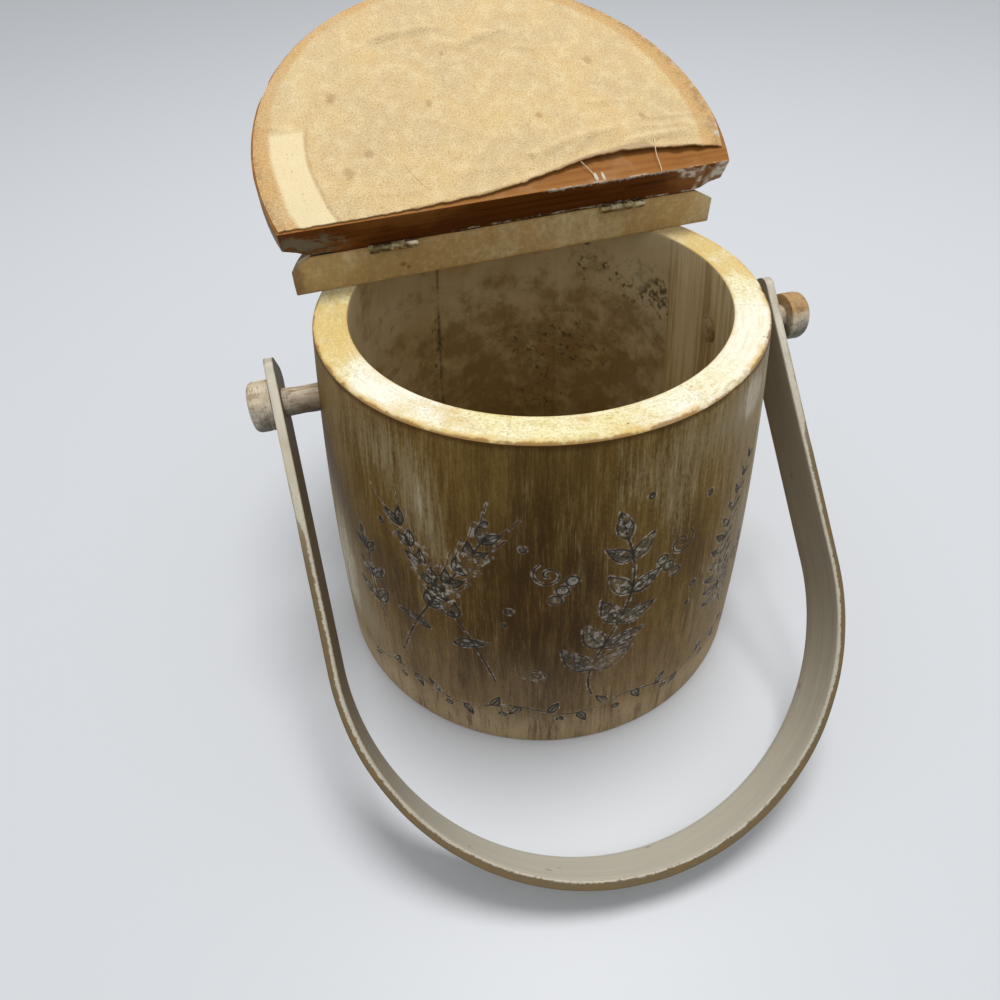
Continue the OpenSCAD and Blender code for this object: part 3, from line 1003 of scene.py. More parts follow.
def flat_stave():
    """A stave before it is curved: X is depth from the outer face, Y its share of the angle, Z height"""
    board = block((WALL, 1, TUB_H), (WALL / 2, 0, TUB_H / 2))
    open_up(board)
    for z, x, ease in ((TUB_H, 0, RIM_EASE), (TUB_H, WALL, INNER_EASE), (0, 0, FOOT_EASE),
                       (0, WALL, FOOT_EASE)):
        pick(board, "edges", lambda mesh, edge: all(abs(v.z - z) < NEAR and abs(v.x - x) < NEAR
                                                    for v in both_ends(mesh, edge)))
        bpy.ops.mesh.bevel(offset=ease, segments=4, affect="EDGES", clamp_overlap=False)
    slice_at(2, sorted([*np.arange(ROW, TUB_H - 1.5 * ROW, ROW), BOARD_Z, BOARD_Z + MM, BOARD_TOP - MM]))
    slice_at(0, np.linspace(0, WALL, LAYERS)[1:-1])
    slice_at(1, np.linspace(-0.5, 0.5, COLUMNS + 1)[1:-1])
    return close_up(board)


def face_finish(mesh):
    """Outside, rim or inside material for each face of the flat stave"""
    for face in mesh.polygons:
        if face.center.z > TUB_H - RIM_EASE and face.normal.z > 0.3:
            face.material_index = RIM
        else:
            face.material_index = INSIDE if face.normal.x > 0.5 else OUTSIDE


# Pale, gold and black places of the wall as (degrees round from +X, height, half width in degrees,
# half height, strength)
PALE_PLACES = [(-144, 0.152, 9, 0.012, 0.55), (-133, 0.136, 6, 0.018, 0.65), (-128, 0.116, 4, 0.016, 0.45),
               (-158, 0.140, 7, 0.014, 0.3), (-166, 0.100, 6, 0.025, 0.35), (-164, 0.058, 12, 0.042, 0.95),
               (-150, 0.040, 8, 0.016, 0.35), (-85, 0.152, 5, 0.014, 0.4), (-75, 0.142, 6, 0.024, 0.6),
               (-64, 0.154, 8, 0.012, 0.5), (-52, 0.120, 9, 0.035, 0.45), (-60, 0.066, 9, 0.03, 0.45),
               (-36, 0.080, 15, 0.05, 0.92), (-28, 0.140, 14, 0.03, 0.95), (-50, 0.156, 9, 0.011, 0.9),
               (-112, 0.018, 14, 0.010, 0.4), (-88, 0.030, 8, 0.016, 0.25), (-10, 0.13, 16, 0.03, 0.5),
               (30, 0.12, 14, 0.04, 0.5), (95, 0.10, 20, 0.05, 0.5), (150, 0.12, 18, 0.04, 0.5),
               (175, 0.05, 18, 0.03, 0.4)]
GOLD_PLACES = [(-100, 0.158, 12, 0.008, 0.5), (-118, 0.14, 8, 0.02, 0.3)]
BLACK_PLACES = [(57, 0.147, 7, 0.010, 0.8), (33, 0.142, 8, 0.013, 1.0), (26, 0.134, 7, 0.012, 0.8),
                (45, 0.135, 10, 0.010, 0.5), (75, 0.098, 30, 0.022, 0.45), (114, 0.100, 5, 0.030, 0.6),
                (73, 0.050, 12, 0.02, 0.3), (60, 0.085, 22, 0.02, 0.4), (150, 0.09, 20, 0.03, 0.3),
                (90, 0.04, 60, 0.025, 0.25)]
# Gold stains and rubbed white places of the rim as (degrees, half width in degrees, strength)
RIM_STAINS = [(-176, 16, 1.0), (-128, 6, 0.4), (-90, 14, 0.55), (-4, 8, 0.8), (12, 12, 0.7), (30, 14, 0.8),
              (60, 25, 0.6), (-63, 7, 0.4)]
RIM_WHITES = [(-146, 14, 1.0), (-45, 20, 1.0), (-28, 10, 0.9), (-75, 6, 0.5), (35, 12, 0.4)]
# Chips of the rim's outer edge as (degrees, half width in degrees, depth)
CHIPS = [(-58.5, 3.5, 0.9 * MM), (-52.5, 1.6, 0.6 * MM), (-14, 1.3, 0.7 * MM), (-18, 0.8, 0.4 * MM),
         (-96, 5, 0.35 * MM), (-128, 2, 0.3 * MM), (60, 2.5, 0.7 * MM), (141, 1.5, 0.6 * MM),
         (100, 3, 0.3 * MM)]


# Painted ornament of the three front staves, drawn on the unrolled wall in millimetres:
# s runs to the right from the middle of the front, z up from the foot
ORNAMENT_LOW, ORNAMENT_HIGH = 14 * MM, 150 * MM
FAR_FROM_INK = 9.0


def bezier(a, b, c, d, steps=24):
    t = np.linspace(0, 1, steps)[:, None]
    a, b, c, d = (np.array(p, float) for p in (a, b, c, d))
    return (1 - t) ** 3 * a + 3 * (1 - t) ** 2 * t * b + 3 * (1 - t) * t ** 2 * c + t ** 3 * d


def leaf_outline(base, angle, length, width, bend=0.0, steps=18):
    """Closed outline of a pointed leaf; bend curves its tip aside"""
    t = np.linspace(0, 1, steps)
    half = width / 2 * np.sin(np.pi * t ** 0.8) * (1 - 0.25 * t)
    side = bend * length * t ** 2
    upper = np.stack([t * length, side + half], axis=1)
    lower = np.stack([t * length, side - half], axis=1)[::-1]
    rib = np.stack([t * length, side], axis=1)[1:-2]
    turn = np.array([[math.cos(angle), -math.sin(angle)], [math.sin(angle), math.cos(angle)]])
    return np.concatenate([upper, lower]) @ turn.T + np.array(base), rib @ turn.T + np.array(base)


def ring(centre, radius, steps=16):
    a = np.linspace(0, 2 * np.pi, steps)
    return np.array(centre) + radius * np.stack([np.cos(a), np.sin(a)], axis=1)


def curl(centre, radius, start, turns, steps=36):
    """A scroll that winds in from radius to its middle"""
    t = np.linspace(0, 1, steps)
    a = start + turns * 2 * np.pi * t
    return np.array(centre) + (radius * (1 - 0.85 * t) * np.array([np.cos(a), np.sin(a)])).T


class Ornament:
    def __init__(self):
        self.lines = []
        self.fills = []
        self.flakes = []

    def line(self, points, half=0.3):
        self.lines.append((np.asarray(points, float), half))

    def shape(self, outline, half=0.28, tone=1.0):
        self.line(outline, half)
        self.fills.append((np.asarray(outline, float), tone))

    def leaf(self, base, angle, length, width, bend=0.0, tone=1.0, ribs=4):
        outline, rib = leaf_outline(base, angle, length, width, bend)
        self.shape(outline, 0.3, tone)
        self.line(rib, 0.2)
        for k in range(ribs):
            spot = rib[int((k + 1) * len(rib) / (ribs + 1.5))]
            for side in (-1, 1):
                tip = angle + side * 0.75 + bend
                reach = width * 0.28
                self.line([spot, spot + reach * np.array([math.cos(tip), math.sin(tip)])], 0.13)

    def berry(self, centre, radius, tone=0.9):
        self.shape(ring(centre, radius), 0.3, tone)
        self.line(ring(np.array(centre) + 0.15 * radius, radius * 0.3, 8), 0.14)

    def flake(self, s, z, wide, tall, much=1.0):
        self.flakes.append((s, z, wide, tall, much))

    def sprig(self, stem, leaves, length, width, spread=0.95, first=0.25):
        self.line(stem, 0.36)
        for k in range(leaves):
            share = first + (0.93 - first) * k / max(leaves - 1, 1)
            at = int(share * (len(stem) - 1))
            along = stem[min(at + 1, len(stem) - 1)] - stem[max(at - 1, 0)]
            heading = math.atan2(along[1], along[0])
            size = 1.12 - 0.5 * share
            for side in (-1, 1):
                self.leaf(stem[at], heading + side * spread, length * size, width * size, -0.12 * side,
                          0.8 + 0.2 * ((k + (side > 0)) % 2))
        self.leaf(stem[-1], math.atan2(*(stem[-1] - stem[-3])[::-1]), length * 0.7, width * 0.7)

    def wheat(self, stem, kernels=7, size=5.0):
        self.line(stem, 0.3)
        for k in range(kernels):
            at = int((0.45 + 0.53 * k / (kernels - 1)) * (len(stem) - 1))
            along = stem[min(at + 1, len(stem) - 1)] - stem[max(at - 1, 0)]
            heading = math.atan2(along[1], along[0])
            for side in (-1, 1):
                self.leaf(stem[at], heading + side * 0.5, size, size * 0.5, 0, 1.0, 0)
                wide, narrow = heading + side * 0.5, heading + side * 0.25
                start = stem[at] + size * np.array([math.cos(wide), math.sin(wide)])
                tip = start + size * 1.1 * np.array([math.cos(narrow), math.sin(narrow)])
                self.line([start, tip], 0.14)


def draw_ornament():
    art = Ornament()
    # Tall leafy branch a little right of the middle, with berries on curled tendrils
    branch = bezier((-4, 36), (-14, 66), (20, 84), (6, 124))
    art.sprig(branch, 5, 19, 9.5)
    for s, z, r, start, turns in ((-22, 112, 6, 2.2, 1.4), (29, 112, 6, 0.8, -1.4), (-26, 52, 5, 3.4, -1.3)):
        art.line(curl((s, z), r, start, turns), 0.26)
    for s, z in ((-17, 104), (-13.5, 108.5), (-19.5, 99), (24, 103), (21, 107.5), (27, 98.5)):
        art.berry((s, z), 2.3)
    art.flake(2, 86, 16, 30, 0.75)
    # Two crossed ears of wheat to the left
    art.wheat(bezier((-42, 46), (-50, 78), (-66, 96), (-80, 124), 30), 6, 8.5)
    art.wheat(bezier((-82, 48), (-74, 78), (-60, 98), (-44, 128), 30), 6, 8.5)
    art.leaf((-68, 70), 2.75, 15, 5.5, 0.2)
    art.leaf((-58, 66), 0.55, 15, 5.5, -0.2)
    art.flake(-64, 100, 15, 22, 0.9)
    art.flake(-60, 60, 18, 8, 0.6)
    # Fern frond with berries to the right
    frond = bezier((64, 48), (48, 80), (56, 112), (80, 134), 40)
    art.line(frond, 0.34)
    for k in range(11):
        at = 4 + 3 * k
        along = frond[at + 1] - frond[at - 1]
        heading = math.atan2(along[1], along[0])
        size = 13.5 - 0.85 * k
        for side in (-1, 1):
            art.leaf(frond[at], heading + side * 1.05, size, size * 0.34, -0.1 * side, 0.85, 2)
    for s, z in ((74, 66), (79, 71), (71, 72.5), (77, 78)):
        art.berry((s, z), 2.5)
    art.line(bezier((62, 53), (68, 58), (70, 62), (74, 66)), 0.24)
    art.flake(62, 92, 13, 34, 0.8)
    # Small sprig and berries by the left handle leg
    art.sprig(bezier((-92, 58), (-100, 72), (-96, 86), (-100, 98)), 3, 13, 6)
    art.flake(-98, 82, 12, 18, 0.9)
    # Running vine round the foot
    wave = np.linspace(-107, 101, 260)
    vine = np.stack([wave, 26 + 3.2 * np.sin(wave / 7.4)], axis=1)
    art.line(vine, 0.3)
    for k, s in enumerate(np.arange(-102, 100, 11.6)):
        z = 26 + 3.2 * math.sin(s / 7.4)
        up = 1 if k % 2 else -1
        art.leaf((s, z), up * (1.0 if k % 3 else 2.0), 8.2, 3.7, 0.15 * up, 0.8, 2)
        if k % 2:
            art.berry((s + 4.5, z - up * 5.5), 1.5)
            art.line([(s + 4.5, z - up * 4), (s + 3.2, 26 + 3.2 * math.sin((s + 3.2) / 7.4))], 0.18)
    art.flake(-60, 27, 30, 5, 0.7)
    art.flake(40, 26, 26, 5, 0.6)
    # Loose dots
    for s, z, r in ((-36, 92, 1.4), (-38, 84, 0.9), (38, 84, 1.4), (36, 74, 0.9), (-31, 124, 1.2),
                    (42, 128, 1.2), (-88, 118, 1.2), (-44, 134, 0.9), (92, 96, 1.3), (92, 60, 1.1),
                    (14, 140, 1.1), (-84, 44, 1.2)):
        art.berry((s, z), r)
    return art


def distance_to_line(places, points, half):
    """Distance in millimetres from each place to a stroke's edge, 0 on its middle"""
    best = np.full(len(places), FAR_FROM_INK)
    for a, b in zip(points[:-1], points[1:]):
        step = b - a
        share = np.clip(((places - a) @ step) / max(step @ step, 1e-9), 0, 1)
        best = np.minimum(best, np.linalg.norm(places - a - share[:, None] * step, axis=1))
    return best - half


def inside_outline(places, outline):
    hit = np.zeros(len(places), bool)
    x, y = places[:, 0], places[:, 1]
    for (ax, ay), (bx, by) in zip(outline, np.roll(outline, -1, axis=0)):
        crosses = (ay > y) != (by > y)
        with np.errstate(divide="ignore", invalid="ignore"):
            hit ^= crosses & (x < (bx - ax) * (y - ay) / (by - ay) + ax)
    return hit


def paint_ornament(places, art):
    """Ink distance, leaf fill and flaked paint at each place of the unrolled wall"""
    ink = np.full(len(places), FAR_FROM_INK)
    fill = np.zeros(len(places))
    flake = np.zeros(len(places))
    reach = 1.5
    for points, half in art.lines:
        near = np.all((places > points.min(0) - reach) & (places < points.max(0) + reach), axis=1)
        if near.any():
            ink[near] = np.minimum(ink[near], distance_to_line(places[near], points, half))
    for outline, tone in art.fills:
        near = np.all((places > outline.min(0)) & (places < outline.max(0)), axis=1)
        if near.any():
            fill[near] = np.maximum(fill[near], tone * inside_outline(places[near], outline))
    for s, z, wide, tall, much in art.flakes:
        away = ((places[:, 0] - s) / wide) ** 2 + ((places[:, 1] - z) / tall) ** 2
        flake = np.maximum(flake, much * np.exp(-away))
    return ink, fill, flake


def round_places(degrees, z, places):
    return sum(hill(turned(degrees, a), 0, wide) * hill(z, h, tall) * much
               for a, h, wide, tall, much in places)


def rim_places(degrees, places):
    return sum(hill(turned(degrees, a), 0, wide) * much for a, wide, much in places)


def curve_stave(mesh, index, art):
    """Bends the flat stave to the tub, chips its rim, and stores where its wear, its ornament and its painted
    light and shade lie
    """
    points = points_of(mesh)
    depth, share, z = points.T
    degrees = np.degrees(STAVE_ANGLE * (index + share))
    angle = np.radians(degrees)
    in_groove = (depth > WALL - NEAR) & (z > BOARD_Z + 0.5 * MM) & (z < BOARD_TOP - 0.5 * MM)
    radius = side_r(z) - depth
    radius = np.where(in_groove, radius + CROZE, radius)
    near_top = np.clip(1 - (TUB_H - z) / (3 * MM), 0, 1)
    near_edge = np.clip(1 - depth / (3 * MM), 0, 1)
    edge = np.stack([np.cos(angle), np.sin(angle), z * 6], axis=1)
    ragged = np.clip(1 + 0.9 * rough(edge, 38, 5), 0, 2)
    chip = rim_places(degrees, CHIPS) * ragged * near_top * near_edge
    radius = radius - chip
    z = z - chip * 0.8
    set_points(mesh, np.stack([radius * np.cos(angle), radius * np.sin(angle), z], axis=1))

    # Painted shade on the front middle, and painted sheen over some wear on the sides, both stored as light
    painted_front_shade = 1.2 * hill(turned(degrees, -104), 0, 36) * hill(z, 0.085, 0.075)
    sheen_and_worn_sides = 0.6 * hill(turned(degrees, -34), 0, 30) + 0.25 * hill(turned(degrees, -158), 0, 18)
    on_rim = z >= TUB_H - 1.2 * MM
    back = np.clip(1.3 * hill(turned(degrees, 75), 0, 58), 0, 1)
    damp = 0.15 + 0.85 * np.clip((TUB_H - 25 * MM - z) / (45 * MM), 0, 1)
    # Painted light: a pale wedge high on the inner wall at the back right, past the end of the lid strip
    wedge = 0.034 - np.abs(turned(degrees, 36)) * 0.0016 - (TUB_H - z)
    gold = np.where(on_rim, rim_places(degrees, RIM_STAINS), round_places(degrees, z, GOLD_PLACES))
    wear = {
        "pale": np.clip(round_places(degrees, z, PALE_PLACES), 0, 1),
        "light": np.clip(1 - painted_front_shade, 0, 1) + sheen_and_worn_sides,
        "gold": np.clip(gold, 0, 1),
        "white": np.clip(rim_places(degrees, RIM_WHITES), 0, 1),
        "black": np.clip(round_places(degrees, z, BLACK_PLACES), 0, 1),
        "chip": np.clip(chip / (0.8 * MM), 0, 1),
        "stave": index * 1.37,
        "share": share,
        "mould": back * damp,
        "brushed": 1.0 if index in BRUSHED_STAVES else 0.12,
        "open_seam": 0.8 * hill(turned(degrees, 112.5), 0, 5) + 0.2,
        "wedge": np.clip(0.5 + wedge / (6 * MM), 0, 1) * (degrees % 360 < 70),
        "ink": FAR_FROM_INK, "leaf": 0, "flake": 0}
    if index in FRONT_STAVES:
        flat = np.stack([np.radians(turned(degrees, -90)) * MEAN_R / MM, z / MM], axis=1)
        wear["ink"], wear["leaf"], wear["flake"] = paint_ornament(flat, art)
    for name, values in wear.items():
        store(mesh, name, np.broadcast_to(values, len(points)))


def finer_front(board):
    """The same stave with its outer face cut finely, to hold the painted ornament"""
    fine = add_object("front", board.data.copy())
    open_up(fine)
    pick(fine, "polygons", lambda mesh, face: (face.normal.x < -0.9
                                               and ORNAMENT_LOW < face.center.z < ORNAMENT_HIGH))
    bpy.ops.mesh.subdivide(number_cuts=3)
    return close_up(fine)


def make_staves(materials):
    plain = flat_stave()
    fine = finer_front(plain)
    art = draw_ornament()
    for index, name in enumerate(STAVES):
        flat = fine if index in FRONT_STAVES else plain
        piece = add_object(name.replace("stave", "wall"), flat.data.copy())
        face_finish(piece.data)
        for material in materials:
            piece.data.materials.append(material)
        curve_stave(piece.data, index, art)
        open_up(piece)
        face_outwards()
        close_up(piece)
        if index in PEG_STAVES:
            middle = (PEG_STAVES[index] * (side_r(PEG_Z) - WALL / 2), 0, PEG_Z)
            bore(piece, PEG_D / 2 + PEG_PLAY, 40 * MM, middle)
        smooth(piece, 40)
        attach(piece, "tub")
        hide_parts(name)
    for flat in (plain, fine):
        bpy.data.objects.remove(flat)


# Lid
DISC_SIDES = 192
BOARD_EASE = 0.5 * MM


def half_disc(low, keep_back):
    """A bevelled disc cut straight across; the part behind the cut is kept, or the part before it"""
    body = LID_TOP - BEVEL_H - low
    deselect()
    bpy.ops.mesh.primitive_cylinder_add(vertices=DISC_SIDES, radius=LID_R, depth=body,
                                        location=(LID_X, LID_Y, low + body / 2))
    disc = bpy.context.object
    apply_place(disc)
    open_up(disc)
    pick(disc, "polygons", lambda mesh, face: face.normal.z > 0.9)
    bpy.ops.mesh.extrude_region_move(TRANSFORM_OT_translate={"value": (0, 0, BEVEL_H)})
    share = (LID_R - BEVEL_W) / LID_R
    bpy.ops.transform.resize(value=(share, share, 1), center_override=(LID_X, LID_Y, LID_TOP))
    slice_at(1, [STRIP_Y if keep_back else PANEL_Y], use_fill=True, clear_inner=keep_back,
             clear_outer=not keep_back)
    close_up(disc)
    apply_modifier(disc, "BEVEL", width=BOARD_EASE, segments=3, limit_method="ANGLE",
                   angle_limit=math.radians(25), use_clamp_overlap=False)
    return disc


def cut_leaf_beds(piece, side):
    """Shallow beds in the top face that let the hinge leaves in flush"""
    for hinge in (-1, 1):
        middle = (hinge * HINGE_X, PIN_Y + side * LEAF_W / 2, PIN_Z + LEAF_T / 2)
        cut_with(piece, block((HINGE_LEN, LEAF_W, LEAF_T * 2), middle))


# Nicks in the lid boards' edges as (x, y, z, reach, depth) in millimetres, on the closed lid
PANEL_NICKS = [(-84, 28.9, 181, 6, 0.9), (-74, 28.9, 181, 3, 0.5), (72, 28.9, 167.5, 3, 0.7),
               (88, 28.9, 181, 5, 0.9), (81, 28.9, 167.5, 2, 0.5), (60, 28.9, 181, 3, 0.5),
               (-50, 28.9, 181, 2, 0.4), (12, 28.9, 181, 3, 0.4), (-90, 12, 167.5, 4, 0.6),
               (-80, -40, 167.5, 4, 0.6), (40, 28.9, 167.5, 2, 0.35)]
STRIP_NICKS = [(-57, 32.7, 166.5, 2, 0.8), (-88, 32.7, 181, 5, 0.7), (20, 32.7, 166.5, 2, 0.4),
               (-20, 32.7, 181, 3, 0.4), (84, 32.7, 166.5, 4, 0.6), (45, 32.7, 166.5, 1.6, 0.4),
               (-70, 32.7, 166.5, 3, 0.5), (0, 98, 181, 5, 0.6)]


def weather(piece, nicks, keep_flat, seed):
    """Cuts a board into short lengths, then makes its faces slightly uneven and its edges nicked.
    Near the hinges, and on the face that lies on the rim, it stays true."""
    open_up(piece)
    slice_at(0, np.arange(-90, 93, 3) * MM)
    slice_at(2, (TUB_H + 5 * MM, LID_TOP - BEVEL_H))
    close_up(piece)
    mesh = piece.data
    points = points_of(mesh)
    normals = np.array([v.normal for v in mesh.vertices])
    uneven = rough(points, 90, seed) * 0.16 * MM + rough(points, 420, seed + 3) * 0.09 * MM
    cut = np.zeros(len(points))
    for x, y, z, reach, depth in nicks:
        away = np.linalg.norm(points - np.array((x, y, z)) * MM, axis=1) / (reach * MM)
        cut += depth * MM * np.exp(-away ** 2)
    x, y, z = points.T
    from_hinge = np.abs(np.abs(x) - HINGE_X) - HINGE_LEN / 2
    near_hinge = (from_hinge < 3 * MM) & (z > TUB_H + 8 * MM) & (np.abs(y - PIN_Y) < LEAF_W + 3 * MM)
    free = np.where(near_hinge | (z < keep_flat), 0.0, 1.0)
    set_points(mesh, points + normals * ((np.minimum(uneven, 0) - cut) * free)[:, None])


def panel_finish(face):
    """Outside, cut face or underside of the panel"""
    if face.normal.y > 0.6:
        return 1
    return 2 if face.normal.z < -0.6 else 0


def strip_finish(face):
    """Outside of the strip, or its painted front and ends"""
    end = abs(face.center.x - LID_X) > 70 * MM and face.center.y < STRIP_Y + 6 * MM
    return 1 if face.normal.y < -0.6 or (end and face.normal.z < 0.9) else 0


def make_lid(cut_wood, under_wood, panel_outside, strip_front, strip_outside):
    panel = half_disc(PANEL_Z, False)
    cut_leaf_beds(panel, -1)
    strip = half_disc(TUB_H, True)
    cut_leaf_beds(strip, 1)
    panel.name = "board_panel"
    strip.name = "board_strip"
    for piece, materials, finish in ((panel, (panel_outside, cut_wood, under_wood), panel_finish),
                                     (strip, (strip_outside, strip_front), strip_finish)):
        piece.data.materials.clear()
        for material in materials:
            piece.data.materials.append(material)
        for face in piece.data.polygons:
            face.material_index = finish(face)
    weather(panel, PANEL_NICKS, -1, 11)
    weather(strip, STRIP_NICKS, TUB_H + 0.3 * MM, 23)
    panel.data.transform(OPENED)
    strip.data.transform(TURNED)
    for piece, body, node_name, slot in ((panel, "lid", "lid_panel", "lid_wood"),
                                         (strip, "tub", "lid_strip", "strip_paint")):
        smooth(piece, 30)
        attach(piece, body)
        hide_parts(node_name)
    return panel


# Cloth lining of the lid
CLOTH_T = 0.5 * MM
CLOTH_CELLS = 150
LINING_EDGE = PANEL_Y - 1 * MM
# Where the cloth's straight edge lies now that it has peeled back: places along X, and Y there
PEEL_X = np.array([-95, -85, -57, -38, -12, 6, 24, 34, 48, 60, 72, 84, 95]) * MM
PEEL_Y = np.array([27.8, 27.8, 27.8, 27.5, 26.4, 23.8, 20.0, 18.0, 17.2, 17.6, 18.8, 20.4, 21.9]) * MM
# How far its edge has curled up off the board there
CURL = np.array([0, 0, 0.1, 0.2, 0.5, 0.9, 1.5, 2.2, 2.4, 2.2, 1.7, 1.2, 0.7]) * MM
# Small creases as (x, y, x, y, height, half width) in millimetres
CREASES = [(-35, -59, -22, -62, 1.9, 1.7), (-22, -62, -6, -63, 1.5, 1.6), (2, -51, 10, -55, 1.8, 1.6),
           (10, -55, 22, -57, 1.5, 1.6), (-12, -56, 2, -50, 0.6, 2.2), (22, -47, 34, -43, 0.8, 1.8),
           (12, 12, 34, 6, 1.1, 2.0), (34, 6, 52, 4, 1.2, 2.2), (28, 14, 40, 5, 1.2, 1.5),
           (52, 12, 80, 11, 1.3, 1.6), (60, 6, 90, 9, 0.8, 1.4), (-60, 18, -30, 20, 0.4, 1.4),
           (-20, 14, 8, 16, 0.6, 1.6), (40, -12, 62, -9, 0.6, 1.5), (-87, -22, -74, -17, 0.7, 1.2),
           (62, 1, 88, 3, 0.6, 1.0)]


def make_lining(material):
    """A round cloth cut straight, drawn back and curled along its cut edge, creased and frayed"""
    deselect()
    bpy.ops.mesh.primitive_grid_add(x_subdivisions=CLOTH_CELLS, y_subdivisions=CLOTH_CELLS, size=2)
    cloth = bpy.context.object
    cloth.name = "lining"
    points = points_of(cloth.data)
    u, v = points[:, 0], points[:, 1]
    disc = np.stack([u * np.sqrt(1 - v ** 2 / 2), v * np.sqrt(1 - u ** 2 / 2), np.zeros(len(u))], axis=1)
    set_points(cloth.data, disc * LINING_R + np.array((LID_X, LID_Y, 0)))
    open_up(cloth)
    slice_at(1, [LINING_EDGE], clear_outer=True)
    close_up(cloth)
    points = points_of(cloth.data)
    x, y = points[:, 0].copy(), points[:, 1].copy()
    rim = np.clip((np.hypot(x - LID_X, y - LID_Y) - LINING_R + 2 * MM) / (2 * MM), 0, 1)
    slip = np.interp(x, PEEL_X, PEEL_Y) - LINING_EDGE
    share = np.clip((y + 12 * MM) / (LINING_EDGE + 12 * MM), 0, 1)
    flat = np.stack([x, y, np.zeros(len(x))], axis=1)
    fray = rough(flat, 260, 3) * 0.5 * MM + rough(flat, 900, 5) * 0.3 * MM
    y = y + slip * share ** 2 * (3 - 2 * share) + fray * share ** 8
    from_edge = np.interp(x, PEEL_X, PEEL_Y) - y
    curled = np.interp(x, PEEL_X, CURL) * (0.75 + 0.35 * rough(flat, 70, 7))
    lift = curled * (hill(from_edge, 0, 2.6 * MM) + 0.30 * hill(from_edge, 10 * MM, 4 * MM))
    lift += 0.10 * MM * (1 + rough(flat, 55, 9)) + 0.05 * MM * (1 + rough(flat, 240, 13))
    for ax, ay, bx, by, height, half in CREASES:
        a, b = np.array((ax, ay)) * MM, np.array((bx, by)) * MM
        here = np.stack([x, y], axis=1)
        along = np.clip((here - a) @ (b - a) / ((b - a) @ (b - a)), 0, 1)
        away = np.linalg.norm(here - a - along[:, None] * (b - a), axis=1) / (half * MM)
        lift += height * MM * np.exp(-away ** 2) * (0.4 + 0.6 * np.sin(np.pi * along))
    lift *= 1 - 0.8 * rim
    z = PANEL_Z - 0.06 * MM - CLOTH_T / 2 - lift
    set_points(cloth.data, np.stack([x, y, z], axis=1))
    cut = cloth.data.attributes.new("cut", "FLOAT_VECTOR", "POINT")
    cut.data.foreach_set("vector", np.stack([x, y, np.zeros(len(x))], axis=1).astype(np.float32).ravel())
    # Width of the painted shade band under the curled edge, along X
    tongue = np.interp(x, np.array((4, 30, 61, 63)) * MM, np.array((0, 1.6, 4.6, 0)) * MM)
    store(cloth.data, "underlap", np.clip((tongue - from_edge) / (0.5 * MM), 0, 1))
    store(cloth.data, "frayed", np.clip(1 - from_edge / (1.6 * MM), 0, 1) * (x > -40 * MM))
    apply_modifier(cloth, "SOLIDIFY", thickness=CLOTH_T, offset=0)
    cloth.data.transform(OPENED)
    cloth.data.materials.append(material)
    smooth(cloth, 60)
    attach(cloth, "lid")
    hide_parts("lid_lining")
    return cloth


def lid_place(x, y, up):
    """A point over the open lid's underside, from its place on the closed lid and its height off the cloth"""
    return OPENED @ Vector((x * MM, y * MM, PANEL_Z - 0.9 * MM - up * MM))


def make_threads(material):
    """Loose threads pulled from the cloth's edge, and a fine hair lying on it"""
    runs = {"thread_long": (0.16, [(64.6, 11, 0.4), (63.5, 15, 0.9), (61.8, 19, 1.6), (61.5, 23, 0.6),
                                   (62, 26.5, 0.0), (61.2, 29.2, 0.1)]),
            "thread_short": (0.14, [(30, 18, 0.7), (31.5, 22, 0.5), (34.5, 24.6, -0.3), (33.6, 27.0, -0.5)]),
            "thread_hair": (0.07, [(-37, 6.5, 0.1), (-36, 11, 0.1), (-33.5, 16, 0.1), (-30.7, 20.4, 0.1)])}
    threads = []
    for name, (half, points) in runs.items():
        curve = bpy.data.curves.new(name, "CURVE")
        curve.dimensions = "3D"
        curve.bevel_depth = half * MM
        curve.bevel_resolution = 2
        curve.use_fill_caps = True
        line = curve.splines.new("NURBS")
        line.points.add(len(points) - 1)
        line.order_u = 4
        line.use_endpoint_u = True
        for point, (x, y, up) in zip(line.points, points):
            point.co = (*lid_place(x, y, up), 1)
        only(add_object(name, curve))
        bpy.ops.object.convert(target="MESH")
        piece = bpy.context.object
        piece.data.materials.append(material)
        smooth(piece, 60)
        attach(piece, "lid")
        threads.append(piece)
    return threads


# Pegs
def lathe(profile, centre_z):
    """Turns a solid about the line along X at a height: rings at (x, radius), drawn out one after another"""
    deselect()
    start, radius = profile[0]
    bpy.ops.mesh.primitive_circle_add(vertices=ROUND_SIDES, radius=radius, location=(start, 0, centre_z),
                                      rotation=(0, QUARTER_TURN, 0))
    piece = bpy.context.object
    apply_place(piece)
    open_up(piece)
    bpy.ops.mesh.select_all(action="SELECT")
    bpy.ops.mesh.edge_face_add()
    bpy.ops.mesh.select_mode(type="EDGE")
    bpy.ops.mesh.select_all(action="SELECT")
    before = radius
    for x, radius in profile[1:]:
        bpy.ops.mesh.extrude_edges_move(TRANSFORM_OT_translate={"value": (x - start, 0, 0)})
        share = radius / before
        bpy.ops.transform.resize(value=(1, share, share), center_override=(x, 0, centre_z))
        start, before = x, radius
    bpy.ops.mesh.edge_face_add()
    face_outwards()
    return close_up(piece)


